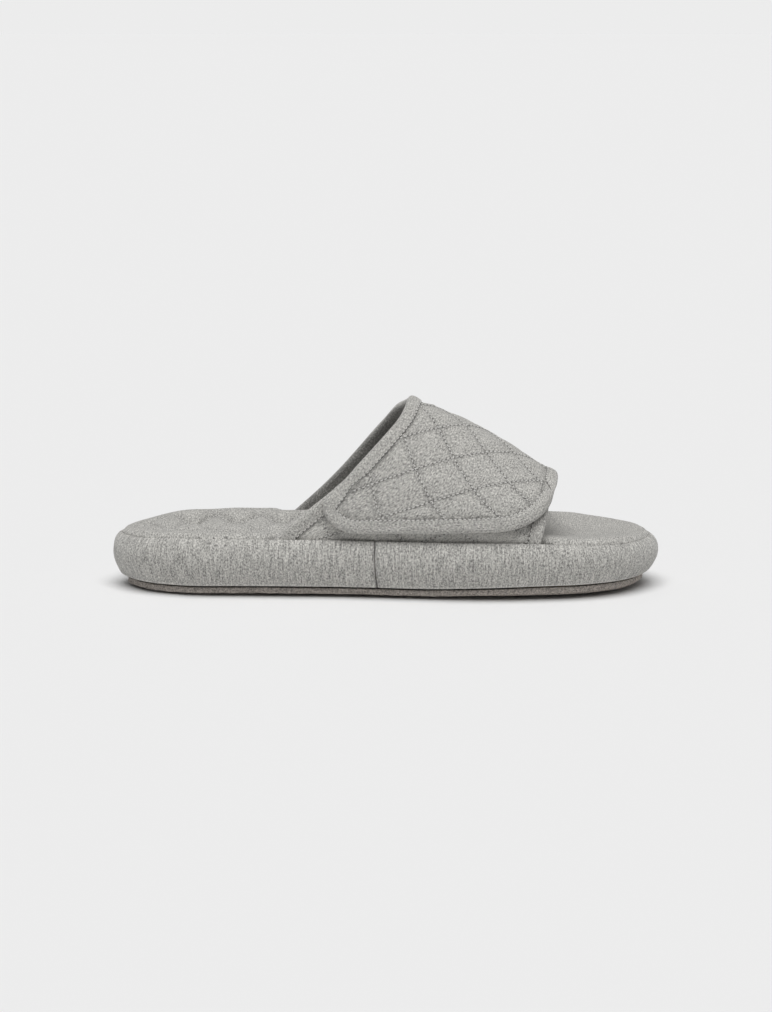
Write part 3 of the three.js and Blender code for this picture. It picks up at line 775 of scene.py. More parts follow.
def binding(name, surface, free, side, seed):
    """A soft strip folded round a strap's free edge."""
    path = spaced(free, surface, BINDING_STEP)
    section = binding_section()
    run = np.arange(len(path)) * BINDING_STEP
    rows = []
    for k, (distance, offset) in enumerate(section):
        at = step_in(surface, path, distance, side)
        uneven = BINDING_UNEVEN * ripple(run, np.full(len(run), distance * 1.3), 7.0, seed)
        pull = BINDING_PULL * np.cos(2 * np.pi * run / STITCH_PITCH) * hump(distance - 5.2, 1.3)
        out = 1 if offset > -STRAP_THICKNESS / 2 else -1
        rows.append(surface(at[:, 0], at[:, 1], offset + out * (uneven + pull)))
    grid = np.stack(rows, 1)
    count, around = len(path), len(section)
    faces = []
    for i in range(count - 1):
        for j in range(around):
            a, b = i * around + j, i * around + (j + 1) % around
            faces.append((a, b, b + around, a + around))
    faces.append(tuple(range(around)))
    faces.append(tuple((count - 1) * around + j for j in reversed(range(around))))
    obj = new_object(name, grid.reshape(-1, 3), faces)
    face_outwards(obj)
    lengthwise = np.repeat(run, around)
    crosswise = np.tile(run_along(section), count)
    # painted shade on the lining side and along the sewn border
    lining = BINDING_LINING_PAINTED_SHADE * (section[:, 1] < -STRAP_THICKNESS / 2 - 0.3)
    border = BINDING_EDGE_PAINTED_SHADE * hump(section[:, 0] - BINDING_REACH, BINDING_SHADE_HALF_WIDTH)
    groove_and_painted_shade = np.tile(np.maximum(border, lining), count)
    finish_cloth(obj, np.column_stack([crosswise, lengthwise]), {"groove_and_painted_shade": groove_and_painted_shade})
    return obj


# ---- The straps --------------------------------------------------------------------------------------------

STRAP_SPAN = {"wrap_strap": (0.0, 1.05), "under_strap_quilt": (-0.1, 0.4)}  # in round_
WRAP_PUFF, UNDER_PUFF = (1.3, 0.6), (1.2, 0.8)
TOPSTITCH_IN = 5.75
TOPSTITCH_STEP = 1.5


def near_box(round_, along, low, high, blur=0.02):
    """1 inside a box of (round, along), falling to 0 just outside it."""
    inner = smooth((round_ - low[0]) / blur + 1) * smooth((high[0] - round_) / blur + 1)
    return inner * smooth((along - low[1]) / blur + 1) * smooth((high[1] - along) / blur + 1)


TAPE_LOW, TAPE_HIGH = (0.125, 0.16), (0.305, 0.84)  # where the tapes lie, in round_ and along


def hook_side(round_, along):
    return np.zeros(len(round_)), near_box(round_, along, TAPE_LOW, TAPE_HIGH)


def loop_side(round_, along):
    return near_box(round_, along, TAPE_LOW, TAPE_HIGH), np.zeros(len(round_))


def wrap_free_edge():
    return edge_path(flap_end, lambda along: 1 - round_at(-SEWN_DEPTH, along))


def under_free_edge():
    return edge_path(under_end, lambda along: round_at(-SEWN_DEPTH, along))


def sewn_end(free):
    """Straight back from a free edge's last point to its first."""
    return np.linspace(free[-1], free[0], 80)


def make_straps():
    wrap_free, under_free = wrap_free_edge(), under_free_edge()
    wrap, wrap_rows = strap_panel("wrap_strap", wrap_surface, wrap_free, WRAP_PUFF, hook_side)
    under, under_rows = strap_panel("under_strap_quilt", under_surface, under_free, UNDER_PUFF, loop_side)
    wrap_edge = binding("wrap_binding", wrap_surface, wrap_free, -1, 11)
    under_edge = binding("under_strap_edge", under_surface, under_free, 1, 12)
    wrap_top = step_in(wrap_surface, spaced(wrap_free, wrap_surface, TOPSTITCH_STEP), TOPSTITCH_IN, -1)
    under_top = step_in(under_surface, spaced(under_free, under_surface, TOPSTITCH_STEP), TOPSTITCH_IN, 1)
    fine = FINE_THREAD_RADIUS
    threads = [
        (stitch_rows("wrap_quilting_thread", wrap, wrap_surface, wrap_rows, 1), "flap"),
        (stitch_rows("lining_quilting_thread", wrap, wrap_surface, wrap_rows, -1), "flap"),
        (stitch_rows("wrap_topstitch", wrap_edge, wrap_surface, [wrap_top], 1, fine), "flap"),
        (stitch_rows("under_quilting_thread", under, under_surface, under_rows, 1), "under_strap"),
        (stitch_rows("under_topstitch", under_edge, under_surface, [under_top], 1, fine), "under_strap"),
    ]
    return wrap, wrap_edge, under, under_edge, threads


def bend_with(obj, body):
    if body == "flap":
        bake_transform(obj)
    else:
        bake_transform(obj)


# ---- Sole --------------------------------------------------------------------------------------------------


def wall_profile():
    """The side wall's outer face, from under the seam to under the platform.

    Each row is a share of its height, an extra inset and an extra lift.
    """
    rows = [(1.0, 1.9, -1.8), (1.0, 1.2, -0.55), (1.0, 0.55, 0.05), (0.985, 0.1, 0.0)]
    rows += [(share, 0.0, 0.0) for share in np.linspace(0.95, 0.06, 26)]
    return rows + [(0.03, 0.05, 0.0), (0.0, 0.4, -0.05), (0.0, 0.95, 0.2), (0.0, 2.0, 0.8), (0.0, 6.0, 1.1)]


WALL_PROUD = 0.9
WALL_STEP = 1.3
WALL_CLOTH = 0.5  # thickness
HALF_SEAM = 0.12  # each half stops this far from the upright seam
# depth of the upright seam's groove, also the strength of the painted shade along it, and its half width
SEAM_GROOVE_AND_PAINTED_SHADE, SEAM_WIDTH = 0.6, 0.7


def wall_painted_shade_and_highlight(share, extra, lift):
    """Painted shade where the cloth turns into a seam, and a painted highlight along its fold over the sole.
    """
    if lift < -1 or extra > 2:
        return 1.0
    return -0.9 if share < 0.05 and extra < 1 else 0.0


def side_wrap(name, start, end, seed):
    """One half of the cloth round the side wall, between two upright seams."""
    count = int((end - start) / WALL_STEP)
    run = np.linspace(start + HALF_SEAM, end - HALF_SEAM, count)
    point, inward = outline_at(run)
    floor = WALL_BOTTOM + edge_lift(point[:, 0])
    height = seam_height(point[:, 0], point[:, 1]) - floor
    from_seam = np.minimum(run - start, end - run)
    rows = []
    for share, extra, lift in wall_profile():
        z = floor + share * height + lift
        inset = wall_inset(np.full(count, share)) + extra - WALL_PROUD * min(1.0, (1 - share) * 6 + 0.3)
        soft = 0.28 * ripple(run, z, 16.0, seed) + 0.1 * ripple(run * 1.6, z, 4.0, seed + 1)
        gather = 0.3 * ripple(run * 2.2, z * 0.3, 5.0, seed + 2) * math.exp(-(1 - share) * 5)
        groove_and_painted_shade = SEAM_GROOVE_AND_PAINTED_SHADE * hump(from_seam, SEAM_WIDTH) - 0.12 * hump(from_seam - 2.2, 1.4)
        inset = inset - (soft + gather) * (0.3 if extra > 0.2 else 1.0) + groove_and_painted_shade
        lean = 0.9 * (0.5 - share) * np.sign(point[:, 1]) * np.exp(-from_seam / 3.0) * -1
        ring = point + inward * inset[:, None]
        rows.append(np.column_stack([ring[:, 0] + lean, ring[:, 1], z]))
    grid = np.stack(rows, 1)
    around = grid.shape[1]
    faces = [
        (i * around + j, i * around + j + 1, (i + 1) * around + j + 1, (i + 1) * around + j)
        for i in range(count - 1)
        for j in range(around - 1)
    ]
    obj = new_object(name, grid.reshape(-1, 3), faces)
    drop = run_along(grid[count // 2])
    set_cloth_map(obj, np.column_stack([np.repeat(run, around), np.tile(-drop, count)]))
    # painted shade along the upright seam's groove, then painted shade and a painted highlight on the rows
    # where the cloth turns
    seam_painted_shade = SEAM_GROOVE_AND_PAINTED_SHADE * hump(from_seam, SEAM_WIDTH)
    rim_painted_shade_and_highlight = np.array([wall_painted_shade_and_highlight(share, extra, lift) for share, extra, lift in wall_profile()])
    set_mask(obj, "groove_and_painted_shade", np.repeat(seam_painted_shade, around) + np.tile(rim_painted_shade_and_highlight, count))
    shape = bmesh.new()
    shape.from_mesh(obj.data)
    spine = 80 * MM  # half the length of the line that the wall faces away from
    outward = 0.0
    for face in shape.faces:
        middle = face.calc_center_median()
        outward += face.normal.dot((middle.x - min(max(middle.x, -spine), spine), middle.y, 0))
    if outward < 0:
        bmesh.ops.reverse_faces(shape, faces=shape.faces)
    shape.to_mesh(obj.data)
    shape.free()
    apply_modifier(obj, "SOLIDIFY", thickness=WALL_CLOTH * MM, offset=-1.0, use_even_offset=False)
    smooth_faces(obj)
    return obj


# The foam's section, from the middle of its underside round its side to its top: the share of its height, and
# the extra inset.
FOAM_SECTION = [
    (0, 14), (0, 4), (0, 1.5), (0.06, 0.3), (0.2, 0), (0.45, 0),
    (0.7, 0), (0.85, 0), (0.95, 0.5), (1, 2), (1, 8),
]
FOAM_OVER_EDGE, FOAM_UNDER_SEAM, FOAM_BEHIND_WALL = 1.6, 9.0, 2.0


def foam_core():
    """The thick foam inside the wall, following the wall's own shape so that none of it shows."""
    count = 260
    run = np.linspace(0, PERIMETER, count, endpoint=False)
    point, _ = outline_at(run)
    floor = WALL_BOTTOM + edge_lift(point[:, 0]) + FOAM_OVER_EDGE
    top = seam_height(point[:, 0], point[:, 1]) - FOAM_UNDER_SEAM
    rings = []
    for share, extra in FOAM_SECTION:
        ring = inset_outline(run, wall_inset(np.full(count, share * 0.6)) + FOAM_BEHIND_WALL + extra)
        rings.append(np.column_stack([ring, floor + share * (top - floor)]))
    faces = []
    for base in range(0, (len(rings) - 1) * count, count):
        for i in range(count):
            a, b = base + i, base + (i + 1) % count
            faces.append((a, b, b + count, a + count))
    faces.append(tuple(reversed(range(count))))
    faces.append(tuple((len(rings) - 1) * count + i for i in range(count)))
    obj = new_object("foam_core", np.vstack(rings), faces)
    face_outwards(obj)
    smooth_faces(obj)
    return obj


def strap_zone(x, y):
    """1 where the straps stand between the wrap and the sock."""
    rear_base = mix(REAR_BASE_OUTER_X, REAR_BASE_INNER_X, ramp(y, -10, 20))
    rear = smooth((x - rear_base + 5.5) / 4)
    return rear * (1 - smooth((x - FRONT_BASE_X - 2) / 6))


SOCK_STEP = 2.1
SOCK_PITCH = 18.5  # between quilting lines of the sock
SOCK_TURN = math.radians(30)
SOCK_FIRST_LINE = 0.35
SOCK_THICKNESS = 3.9
SOCK_LEAST = 0.6  # thickness that is left under a thread
SOCK_IN, SOCK_IN_AT_STRAPS = 3.1, 8.3  # how far in from the outline its edge lies
SOCK_EDGE_DROP = 1.2
QUILT_END_X = 66.0
QUILT_IN = 8.5  # how far in from its edge the quilting starts
CREST_WIDTH, CREST_RISE = 6.0, 2.5  # the padded rim
CHANNEL_IN, CHANNEL_WIDTH, CHANNEL_DEPTH = 7.6, 1.2, 0.45  # the low line inside the rim
CUP_DEPTH = 2.9  # how far the middle of the sock lies below its rim
LOBE_RISE = 2.9


def sock_phase(x, y, turn):
    return (x * math.cos(turn) + y * math.sin(turn)) / SOCK_PITCH + SOCK_FIRST_LINE


def sock_lines(edge):
    """Points on the sock's quilting lines, as separate rows, short of its rim and of its smooth toe."""
    rows = []
    for turn in (SOCK_TURN, -SOCK_TURN):
        along = np.array([-math.sin(turn), math.cos(turn)])
        across = np.array([math.cos(turn), math.sin(turn)])
        for k in range(-14, 15):
            foot = across * (k - SOCK_FIRST_LINE) * SOCK_PITCH
            row = foot + along * np.arange(-190, 190, SOCK_STEP)[:, None]
            row = row[inside(row, edge) & (row[:, 0] < QUILT_END_X)]
            if len(row) < 3:
                continue
            row = row[nearest(in_space(row), in_space(edge)) > QUILT_IN]
            if len(row) > 3:
                rows.append(row)
    return rows


def sock_puff(x, y):
    """0 on the quilting threads and 1 in the middle of each lobe."""
    one = np.abs(np.sin(np.pi * sock_phase(x, y, SOCK_TURN)))
    other = np.abs(np.sin(np.pi * sock_phase(x, y, -SOCK_TURN)))
    return (one * other) ** 0.6


def sock_cover():
    """The quilted cover that the foot stands on, with a padded rim and a smooth toe."""
    run = np.arange(0, PERIMETER - SOCK_STEP / 2, SOCK_STEP)
    point, _ = outline_at(run)
    zone = strap_zone(point[:, 0], point[:, 1])
    edge = inset_outline(run, mix(SOCK_IN, SOCK_IN_AT_STRAPS, zone))
    rows = sock_lines(edge)
    flat, faces = triangulate(edge, np.vstack(rows), SOCK_STEP)
    x, y = flat[:, 0], flat[:, 1]
    from_edge = nearest(in_space(flat), in_space(edge))
    rim = from_edge < 0.05
    quilted = (1 - smooth((x - QUILT_END_X + 8) / 12)) * smooth((from_edge - 8.0) / 9)
    crest = np.sqrt(1 - (1 - np.minimum(from_edge / CREST_WIDTH, 1)) ** 2)
    channel = CHANNEL_DEPTH * hump(from_edge - CHANNEL_IN, CHANNEL_WIDTH)
    channel = channel * (1 - strap_zone(x, y)) * (1 - ramp(x, 40, 30))
    cup = CUP_DEPTH * ramp(from_edge, 6, 26)
    soft = 0.25 * ripple(x, y, 14.0, 5)
    base = seam_height(x, y)
    sunk = mix(0.3, 0.9, strap_zone(x, y))
    lobes = soft - 0.8 * quilted + LOBE_RISE * sock_puff(x, y) * quilted
    top = base - sunk + (CREST_RISE + sunk) * crest - channel - cup + lobes
    bottom = base + 2.8 * crest - cup - SOCK_THICKNESS
    low = np.column_stack([x, y, np.where(rim, base - SOCK_EDGE_DROP, bottom)])
    high = np.column_stack([x, y, np.where(rim, base - SOCK_EDGE_DROP, np.maximum(top, bottom + SOCK_LEAST))])
    obj, lower = pillow("sock_cover", faces, high, low, rim)
    thread_places = in_space(np.vstack(rows))
    from_thread = nearest(in_space(flat), thread_places)
    held = rim | (from_thread < 0.35) | (from_edge < 8.2) | (x > QUILT_END_X + 6)
    keep = np.concatenate([np.flatnonzero(held), lower])
    inflate(obj, np.unique(keep), pressure=7.0, swell=0.04, reach=1.2)
    order = np.concatenate([np.arange(len(flat)), np.flatnonzero(~rim)])
    # painted shade along the low channel inside the rim and along the quilting threads, where the cloth dips
    # into shade
    channel_painted_shade = hump(from_edge - CHANNEL_IN, 0.7) * 0.35 * (x < 40)
    groove_and_painted_shade = np.maximum(hump(from_thread, 1.8) * quilted, channel_painted_shade)
    finish_cloth(obj, flat[order], {"groove_and_painted_shade": groove_and_painted_shade[order]})
    face_outwards(obj)
    return obj, rows


def sock_stitches(cover, rows):
    seats, runs = [], []
    for row in rows:
        run = run_along(row)
        at = np.arange(0, run[-1], STITCH_PITCH)
        places = np.stack([np.interp(at, run, row[:, k]) for k in (0, 1)], -1)
        if len(places) < 3:
            continue
        high = np.column_stack([places, np.full(len(places), 60.0)])
        down = np.tile([0.0, 0.0, -1.0], (len(places), 1))
        for start, direction, way in zip(high, down, unit(np.gradient(places, axis=0))):
            hit, place, _, _ = cover.ray_cast(Vector(start * MM), Vector(direction))
            if hit:
                seats.append(np.array(place) / MM + [0, 0, 0.08])
                runs.append([way[0], way[1], 0])
    ups = np.tile([0.0, 0.0, 1.0], (len(seats), 1))
    return stitch_mesh("sock_quilting_thread", np.array(seats), np.array(runs), ups, FINE_THREAD_RADIUS)


# The outsole's section, from the middle of its underside round its edge to its sunk top: the inset, the
# height, and the share of the edge's lift and roughness that the point takes.
OUTSOLE_SECTION = [
    (22.0, 0.8, 0), (14.0, 0.8, 0.15), (10.5, 0.95, 0.25), (8.3, 1.3, 0.3),
    (7.2, 0.0, 1), (6.8, 0.12, 1), (6.55, 0.45, 1),
    (6.5, 0.9, 1), (6.5, 1.35, 1), (6.5, 1.8, 1), (6.5, 2.25, 1),
    (6.6, 2.6, 1), (6.8, 2.85, 1), (7.2, 2.9, 1), (7.5, 2.7, 1), (8.2, 2.9, 0), (13.0, 2.6, 0),
]


def outsole_tread():
    """The outsole: a circle extruded ring by ring, with each ring then set on the outsole's section."""
    deselect()
    count = 640
    bpy.ops.mesh.primitive_circle_add(vertices=count, radius=0.1, fill_type="NGON")
    obj = bpy.context.object
    obj.name = "outsole_tread"
    bpy.ops.object.mode_set(mode="EDIT")
    bpy.ops.mesh.select_mode(type="FACE")
    bpy.ops.mesh.select_all(action="SELECT")
    for _ in OUTSOLE_SECTION[1:]:
        bpy.ops.mesh.extrude_region_move(TRANSFORM_OT_translate={"value": (0, 0, MM)})
    bpy.ops.object.mode_set(mode="OBJECT")
    run = np.linspace(0, PERIMETER, count, endpoint=False)
    rings = []
    for row, (inset, height, on_edge) in enumerate(OUTSOLE_SECTION):
        grain = 0.15 * ripple(run, np.full(count, 1.7 * row), 0.8, 41)
        grain = grain + 0.08 * ripple(run, np.full(count, row), 3.0, 42)
        ring = inset_outline(run, inset + on_edge * grain)
        foot = edge_lift(ring[:, 0]) + WALL_BOTTOM - JOINT_GAP - OUTSOLE_EDGE
        rings.append(np.column_stack([ring, height + on_edge * (foot + 0.5 * grain)]))
    for vertex, place in zip(obj.data.vertices, np.vstack(rings) * MM):
        vertex.co = place
    bpy.ops.object.mode_set(mode="EDIT")
    bpy.ops.mesh.select_all(action="SELECT")
    bpy.ops.mesh.normals_make_consistent(inside=False)
    bpy.ops.object.mode_set(mode="OBJECT")
    bpy.ops.object.shade_smooth_by_angle(angle=math.radians(50))
    return obj


DOT_RADIUS, DOT_DEPTH, DOT_BEVEL = 1.5, 1.0, 0.25
DOT_PITCH, DOT_ROW_PITCH = 6.0, 5.2
DOT_HEIGHT = 0.52  # of a dot's middle over the ground
DOTS_IN = 16.0  # how far in from the outsole's edge they start


def tread_dots():
    """Low round grips under the outsole, modelled once and repeated in rows."""
    deselect()
    bpy.ops.mesh.primitive_cylinder_add(vertices=10, radius=DOT_RADIUS * MM, depth=DOT_DEPTH * MM)
    dot = bpy.context.object
    bpy.ops.object.mode_set(mode="EDIT")
    bpy.ops.mesh.select_all(action="SELECT")
    bpy.ops.mesh.bevel(offset=DOT_BEVEL * MM, segments=1, affect="EDGES")
    bpy.ops.object.mode_set(mode="OBJECT")
    pattern = np.array([tuple(v.co) for v in dot.data.vertices]) / MM
    sides = [tuple(p.vertices) for p in dot.data.polygons]
    bpy.data.objects.remove(dot)
    run = np.linspace(0, PERIMETER, 300, endpoint=False)
    edge = inset_outline(run, np.full(len(run), OUTSOLE_INSET + DOTS_IN))
    seats = [
        (x, y)
        for i, y in enumerate(np.arange(-46, 47, DOT_ROW_PITCH))
        for x in np.arange(-128 + (i % 2) * DOT_PITCH / 2, 129, DOT_PITCH)
    ]
    seats = np.array(seats)
    seats = seats[inside(seats, edge)]
    points, faces = [], []
    for x, y in seats:
        base = len(points)
        points.extend(pattern + [x, y, DOT_HEIGHT])
        faces.extend(tuple(base + i for i in side) for side in sides)
    return new_object("tread_dots", np.array(points), faces)


# ---- Finishes ----------------------------------------------------------------------------------------------


def shade_group(name, inputs, outputs):
    group = bpy.data.node_groups.new(name, "ShaderNodeTree")
    for label, kind in inputs:
        group.interface.new_socket(name=label, in_out="INPUT", socket_type=kind)
    for label, kind in outputs:
        group.interface.new_socket(name=label, in_out="OUTPUT", socket_type=kind)
    return group, group.nodes.new("NodeGroupInput"), group.nodes.new("NodeGroupOutput")


def node(tree, kind, **values):
    made = tree.nodes.new(kind)
    for key, value in values.items():
        if key in made.inputs.keys():
            made.inputs[key].default_value = value
        else:
            setattr(made, key, value)
    return made


def math_node(tree, operation, a, b, clamp=False):
    made = node(tree, "ShaderNodeMath", operation=operation, use_clamp=clamp)
    for socket, value in zip(made.inputs, (a, b)):
        if isinstance(value, (int, float)):
            socket.default_value = value
        else:
            tree.links.new(value, socket)
    return made.outputs[0]


def stretched_noise(tree, vector, scale, detail, roughness=0.55):
    place = node(tree, "ShaderNodeMapping")
    place.inputs["Scale"].default_value = scale
    tree.links.new(vector, place.inputs["Vector"])
    noise = node(tree, "ShaderNodeTexNoise", Scale=1.0, Detail=detail, Roughness=roughness)
    tree.links.new(place.outputs["Vector"], noise.inputs["Vector"])
    return noise.outputs["Fac"]


def heather_group():
    """Jersey spun from light and dark fibres: speckle, faint lengthwise streaks and fine ribs. Its mask input
    paints shade into the colour, and paints highlights where it is below zero.
    """
    group, given, out = shade_group(
        "heather_jersey",
        [("Cloth", "NodeSocketVector"), ("Light", "NodeSocketColor"), ("Dark", "NodeSocketColor"),
         ("Painted shade", "NodeSocketFloat"), ("Contrast", "NodeSocketFloat"), ("Streaks", "NodeSocketFloat")],
        [("Color", "NodeSocketColor"), ("Height", "NodeSocketFloat")],
    )
    cloth = given.outputs["Cloth"]
    fleck = stretched_noise(group, cloth, (1.5, 0.95, 1.0), 2.0, 0.7)
    fine = stretched_noise(group, cloth, (3.4, 2.4, 1.0), 2.0, 0.7)
    streak = stretched_noise(group, cloth, (1.0, 0.13, 1.0), 2.0, 0.6)
    cloud = stretched_noise(group, cloth, (0.22, 0.12, 1.0), 2.0)

    def times(a, b):
        return math_node(group, "MULTIPLY", a, b)

    def plus(a, b, clamp=False):
        return math_node(group, "ADD", a, b, clamp)

    def less(a, b, clamp=False):
        return math_node(group, "SUBTRACT", a, b, clamp)

    mixed = plus(plus(times(fleck, 0.7), times(fine, 0.4)), times(cloud, 0.07))
    mixed = plus(mixed, times(less(streak, 0.5), given.outputs["Streaks"]))
    mean = 0.585
    share = plus(times(less(mixed, mean), given.outputs["Contrast"]), 0.5, clamp=True)
    # painted shade: the mask darkens the colour, and lightens it as a painted highlight where it is negative
    share_with_painted_shade = less(share, times(given.outputs["Painted shade"], 0.22), clamp=True)
    blend = node(group, "ShaderNodeMix", data_type="RGBA")
    group.links.new(share_with_painted_shade, blend.inputs["Factor"])
    group.links.new(given.outputs["Dark"], blend.inputs["A"])
    group.links.new(given.outputs["Light"], blend.inputs["B"])
    group.links.new(blend.outputs["Result"], out.inputs["Color"])
    ribs = node(group, "ShaderNodeTexWave", Scale=0.34, Distortion=1.2, Detail=1.0)
    ribs.bands_direction = "X"
    group.links.new(cloth, ribs.inputs["Vector"])
    height = plus(plus(times(fine, 0.5), times(fleck, 0.6)), times(ribs.outputs["Fac"], 0.22))
    group.links.new(height, out.inputs["Height"])
    return group


def new_material(name):
    material = bpy.data.materials.new(name)
    material.use_nodes = True
    tree = material.node_tree
    shader = tree.nodes["Principled BSDF"]
    return material, tree, shader


def add_bump(tree, shader, height, strength, distance):
    bump = node(tree, "ShaderNodeBump", Strength=strength, Distance=distance)
    tree.links.new(height, bump.inputs["Height"])
    tree.links.new(bump.outputs["Normal"], shader.inputs["Normal"])


def own_space_noise(tree, scale, detail, roughness=0.55):
    """Noise laid by place in space."""
    place = node(tree, "ShaderNodeTexCoord")
    return stretched_noise(tree, place.outputs["Object"], scale, detail, roughness)


def two_tones(tree, shader, share, dark, light):
    """Colours a finish from dark to light as share goes from 0 to 1."""
    blend = node(tree, "ShaderNodeMix", data_type="RGBA")
    blend.inputs["A"].default_value = (*dark, 1)
    blend.inputs["B"].default_value = (*light, 1)
    tree.links.new(share, blend.inputs["Factor"])
    tree.links.new(blend.outputs["Result"], shader.inputs["Base Color"])


def jersey(name, group, light, dark, contrast, streaks, use_map=True):
    """Heather jersey laid by the piece's cloth map, or by place in space on a plain piece."""
    material, tree, shader = new_material(name)
    if use_map:
        place = node(tree, "ShaderNodeUVMap", uv_map="cloth")
        vector, scale = place.outputs["UV"], 1.0
    else:
        place = node(tree, "ShaderNodeTexCoord")
        vector, scale = place.outputs["Object"], 1000.0
    laid = node(tree, "ShaderNodeMapping")
    laid.inputs["Scale"].default_value = (scale, scale, scale)
    tree.links.new(vector, laid.inputs["Vector"])
    cloth = node(tree, "ShaderNodeGroup")
    cloth.node_tree = group
    cloth.inputs["Light"].default_value = (*light, 1)
    cloth.inputs["Dark"].default_value = (*dark, 1)
    cloth.inputs["Contrast"].default_value = contrast
    cloth.inputs["Streaks"].default_value = streaks
    tree.links.new(laid.outputs["Vector"], cloth.inputs["Cloth"])
    if use_map:
        # the piece's own mask of painted shade and painted highlight
        groove_and_painted_shade = node(tree, "ShaderNodeAttribute", attribute_name="groove_and_painted_shade")
        tree.links.new(groove_and_painted_shade.outputs["Fac"], cloth.inputs["Painted shade"])
    tree.links.new(cloth.outputs["Color"], shader.inputs["Base Color"])
    shader.inputs["Roughness"].default_value = 0.95
    shader.inputs["Specular IOR Level"].default_value = 0.15
    shader.inputs["Sheen Weight"].default_value = 0.25
    shader.inputs["Sheen Roughness"].default_value = 0.5
    add_bump(tree, shader, cloth.outputs["Height"], 0.5, 0.6 * MM)
    return material


def grain_material(name, light, dark, scale, roughness, bump, stretch=(1, 1, 1)):
    """A two-tone grainy finish for rubber, foam, board and tape."""
    material, tree, shader = new_material(name)
    noise = own_space_noise(tree, tuple(scale * s for s in stretch), 3.0, 0.65)
    spread = node(tree, "ShaderNodeMapRange")
    spread.inputs["From Min"].default_value = 0.32
    spread.inputs["From Max"].default_value = 0.68
    tree.links.new(noise, spread.inputs["Value"])
    two_tones(tree, shader, spread.outputs["Result"], dark, light)
    shader.inputs["Roughness"].default_value = roughness
    shader.inputs["Specular IOR Level"].default_value = 0.3
    add_bump(tree, shader, noise, bump, 0.8 * MM)
    return material


def thread_material(name, colour):
    material, tree, shader = new_material(name)
    noise = own_space_noise(tree, (2600, 2600, 2600), 1.0)
    two_tones(tree, shader, noise, [c * 0.72 for c in colour], colour)
    shader.inputs["Roughness"].default_value = 0.7
    add_bump(tree, shader, noise, 0.3, 0.3 * MM)
    return material


def hole_material():
    """The shadowed cloth inside a needle hole."""
    material, tree, shader = new_material("needle_hole")
    noise = own_space_noise(tree, (1800, 1800, 1800), 1.0)
    two_tones(tree, shader, noise, (0.07, 0.069, 0.066), (0.17, 0.166, 0.157))
    shader.inputs["Roughness"].default_value = 1.0
    shader.inputs["Specular IOR Level"].default_value = 0.0
    return material


def paint(obj, *materials):
    """Gives a piece its finishes in the order of its faces' numbers."""
    numbers = [face.material_index for face in obj.data.polygons]
    obj.data.materials.clear()
    for material in materials:
        obj.data.materials.append(material)
    obj.data.polygons.foreach_set("material_index", numbers)


# ---- Assembly ----------------------------------------------------------------------------------------------

LIGHT_FIBRE = (0.72, 0.706, 0.665)
DARK_FIBRE = (0.175, 0.171, 0.164)


def place_piece(obj, materials, body="slipper"):
    paint(obj, *(materials if isinstance(materials, tuple) else (materials,)))
    if body == "slipper":
        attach(obj, "slipper")
    else:
        bend_with(obj, body)


def build():
    group = heather_group()
    cloth = jersey("quilted_jersey", group, LIGHT_FIBRE, DARK_FIBRE, 4.0, 0.12)
    wall_cloth = jersey("wall_jersey", group, LIGHT_FIBRE, DARK_FIBRE, 3.7, 0.35)
    band_cloth = jersey("binding_jersey", group, LIGHT_FIBRE, DARK_FIBRE, 3.7, 0.12)
    thread = (thread_material("quilting_thread", (0.86, 0.85, 0.82)), hole_material())
    rubber = grain_material("taupe_rubber", (0.72, 0.66, 0.6), (0.19, 0.17, 0.155), 1250, 0.85, 0.8)
    pile = grain_material("tape_pile", (0.3, 0.3, 0.295), (0.12, 0.12, 0.118), 2400, 0.8, 0.9)
    foam = grain_material("open_foam", (0.82, 0.78, 0.7), (0.66, 0.61, 0.52), 1400, 0.9, 0.5)
    board = grain_material("pressed_board", (0.5, 0.37, 0.24), (0.3, 0.21, 0.13), 500, 0.85, 0.3, (1, 4, 1))

    wrap, wrap_edge, under, under_edge, threads = make_straps()
    place_piece(wrap, cloth, "flap")
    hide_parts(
        "inner_strap_shell", "inner_strap_padding", "inner_strap_lining",
        "flap_shell", "flap_padding", "flap_lining",
    )
    place_piece(wrap_edge, band_cloth, "flap")
    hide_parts("inner_strap_binding_rear", "inner_strap_binding_front", "flap_binding")
    place_piece(under, cloth, "under_strap")
    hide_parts("under_strap_shell", "under_strap_padding", "under_strap_lining", "under_strap_margin")
    place_piece(under_edge, band_cloth, "under_strap")
    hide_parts("under_strap_binding")
    for row, body in threads:
        place_piece(row, thread, body)

    core = foam_core()
    place_piece(core, foam)
    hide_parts("platform_foam")

    outer, inner = joint_distance(-1), joint_distance(1)
    front = side_wrap("side_wrap_front", outer, inner, 21)
    rear = side_wrap("side_wrap_rear", inner, outer + PERIMETER, 31)
    for piece, node_name in ((front, "sidewall_wrap_front"), (rear, "sidewall_wrap_rear")):
        place_piece(piece, wall_cloth)
        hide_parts(node_name)

    cover, rows = sock_cover()
    place_piece(cover, cloth)
    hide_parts("sock_quilted_cover", "sock_wadding")
    place_piece(sock_stitches(cover, rows), thread)

    tread = outsole_tread()
    place_piece(tread, rubber)
    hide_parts("outsole")
    place_piece(tread_dots(), rubber)

    for name, finish in (
        ("hook_tape", pile), ("loop_tape", pile), ("memory_foam", foam),
        ("sock_backing", jersey("backing_cloth", group, LIGHT_FIBRE, DARK_FIBRE, 3.0, 0.1, use_map=False)),
        ("bottom_filler_board", board),
    ):
        paint(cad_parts[name], finish)


# ---- Stage -------------------------------------------------------------------------------------------------


FLOOR_SHADE, SKY_SHADE = 0.845, 0.84
FILL_STRENGTH = 0.2
CAMERA_HEIGHT = math.radians(9.5)  # angle over the ground
CAMERA_DISTANCE = 1.4
CAMERA_TARGET = (0.0002, 0, 0.0382)
CAMERA_LENS = 135.3


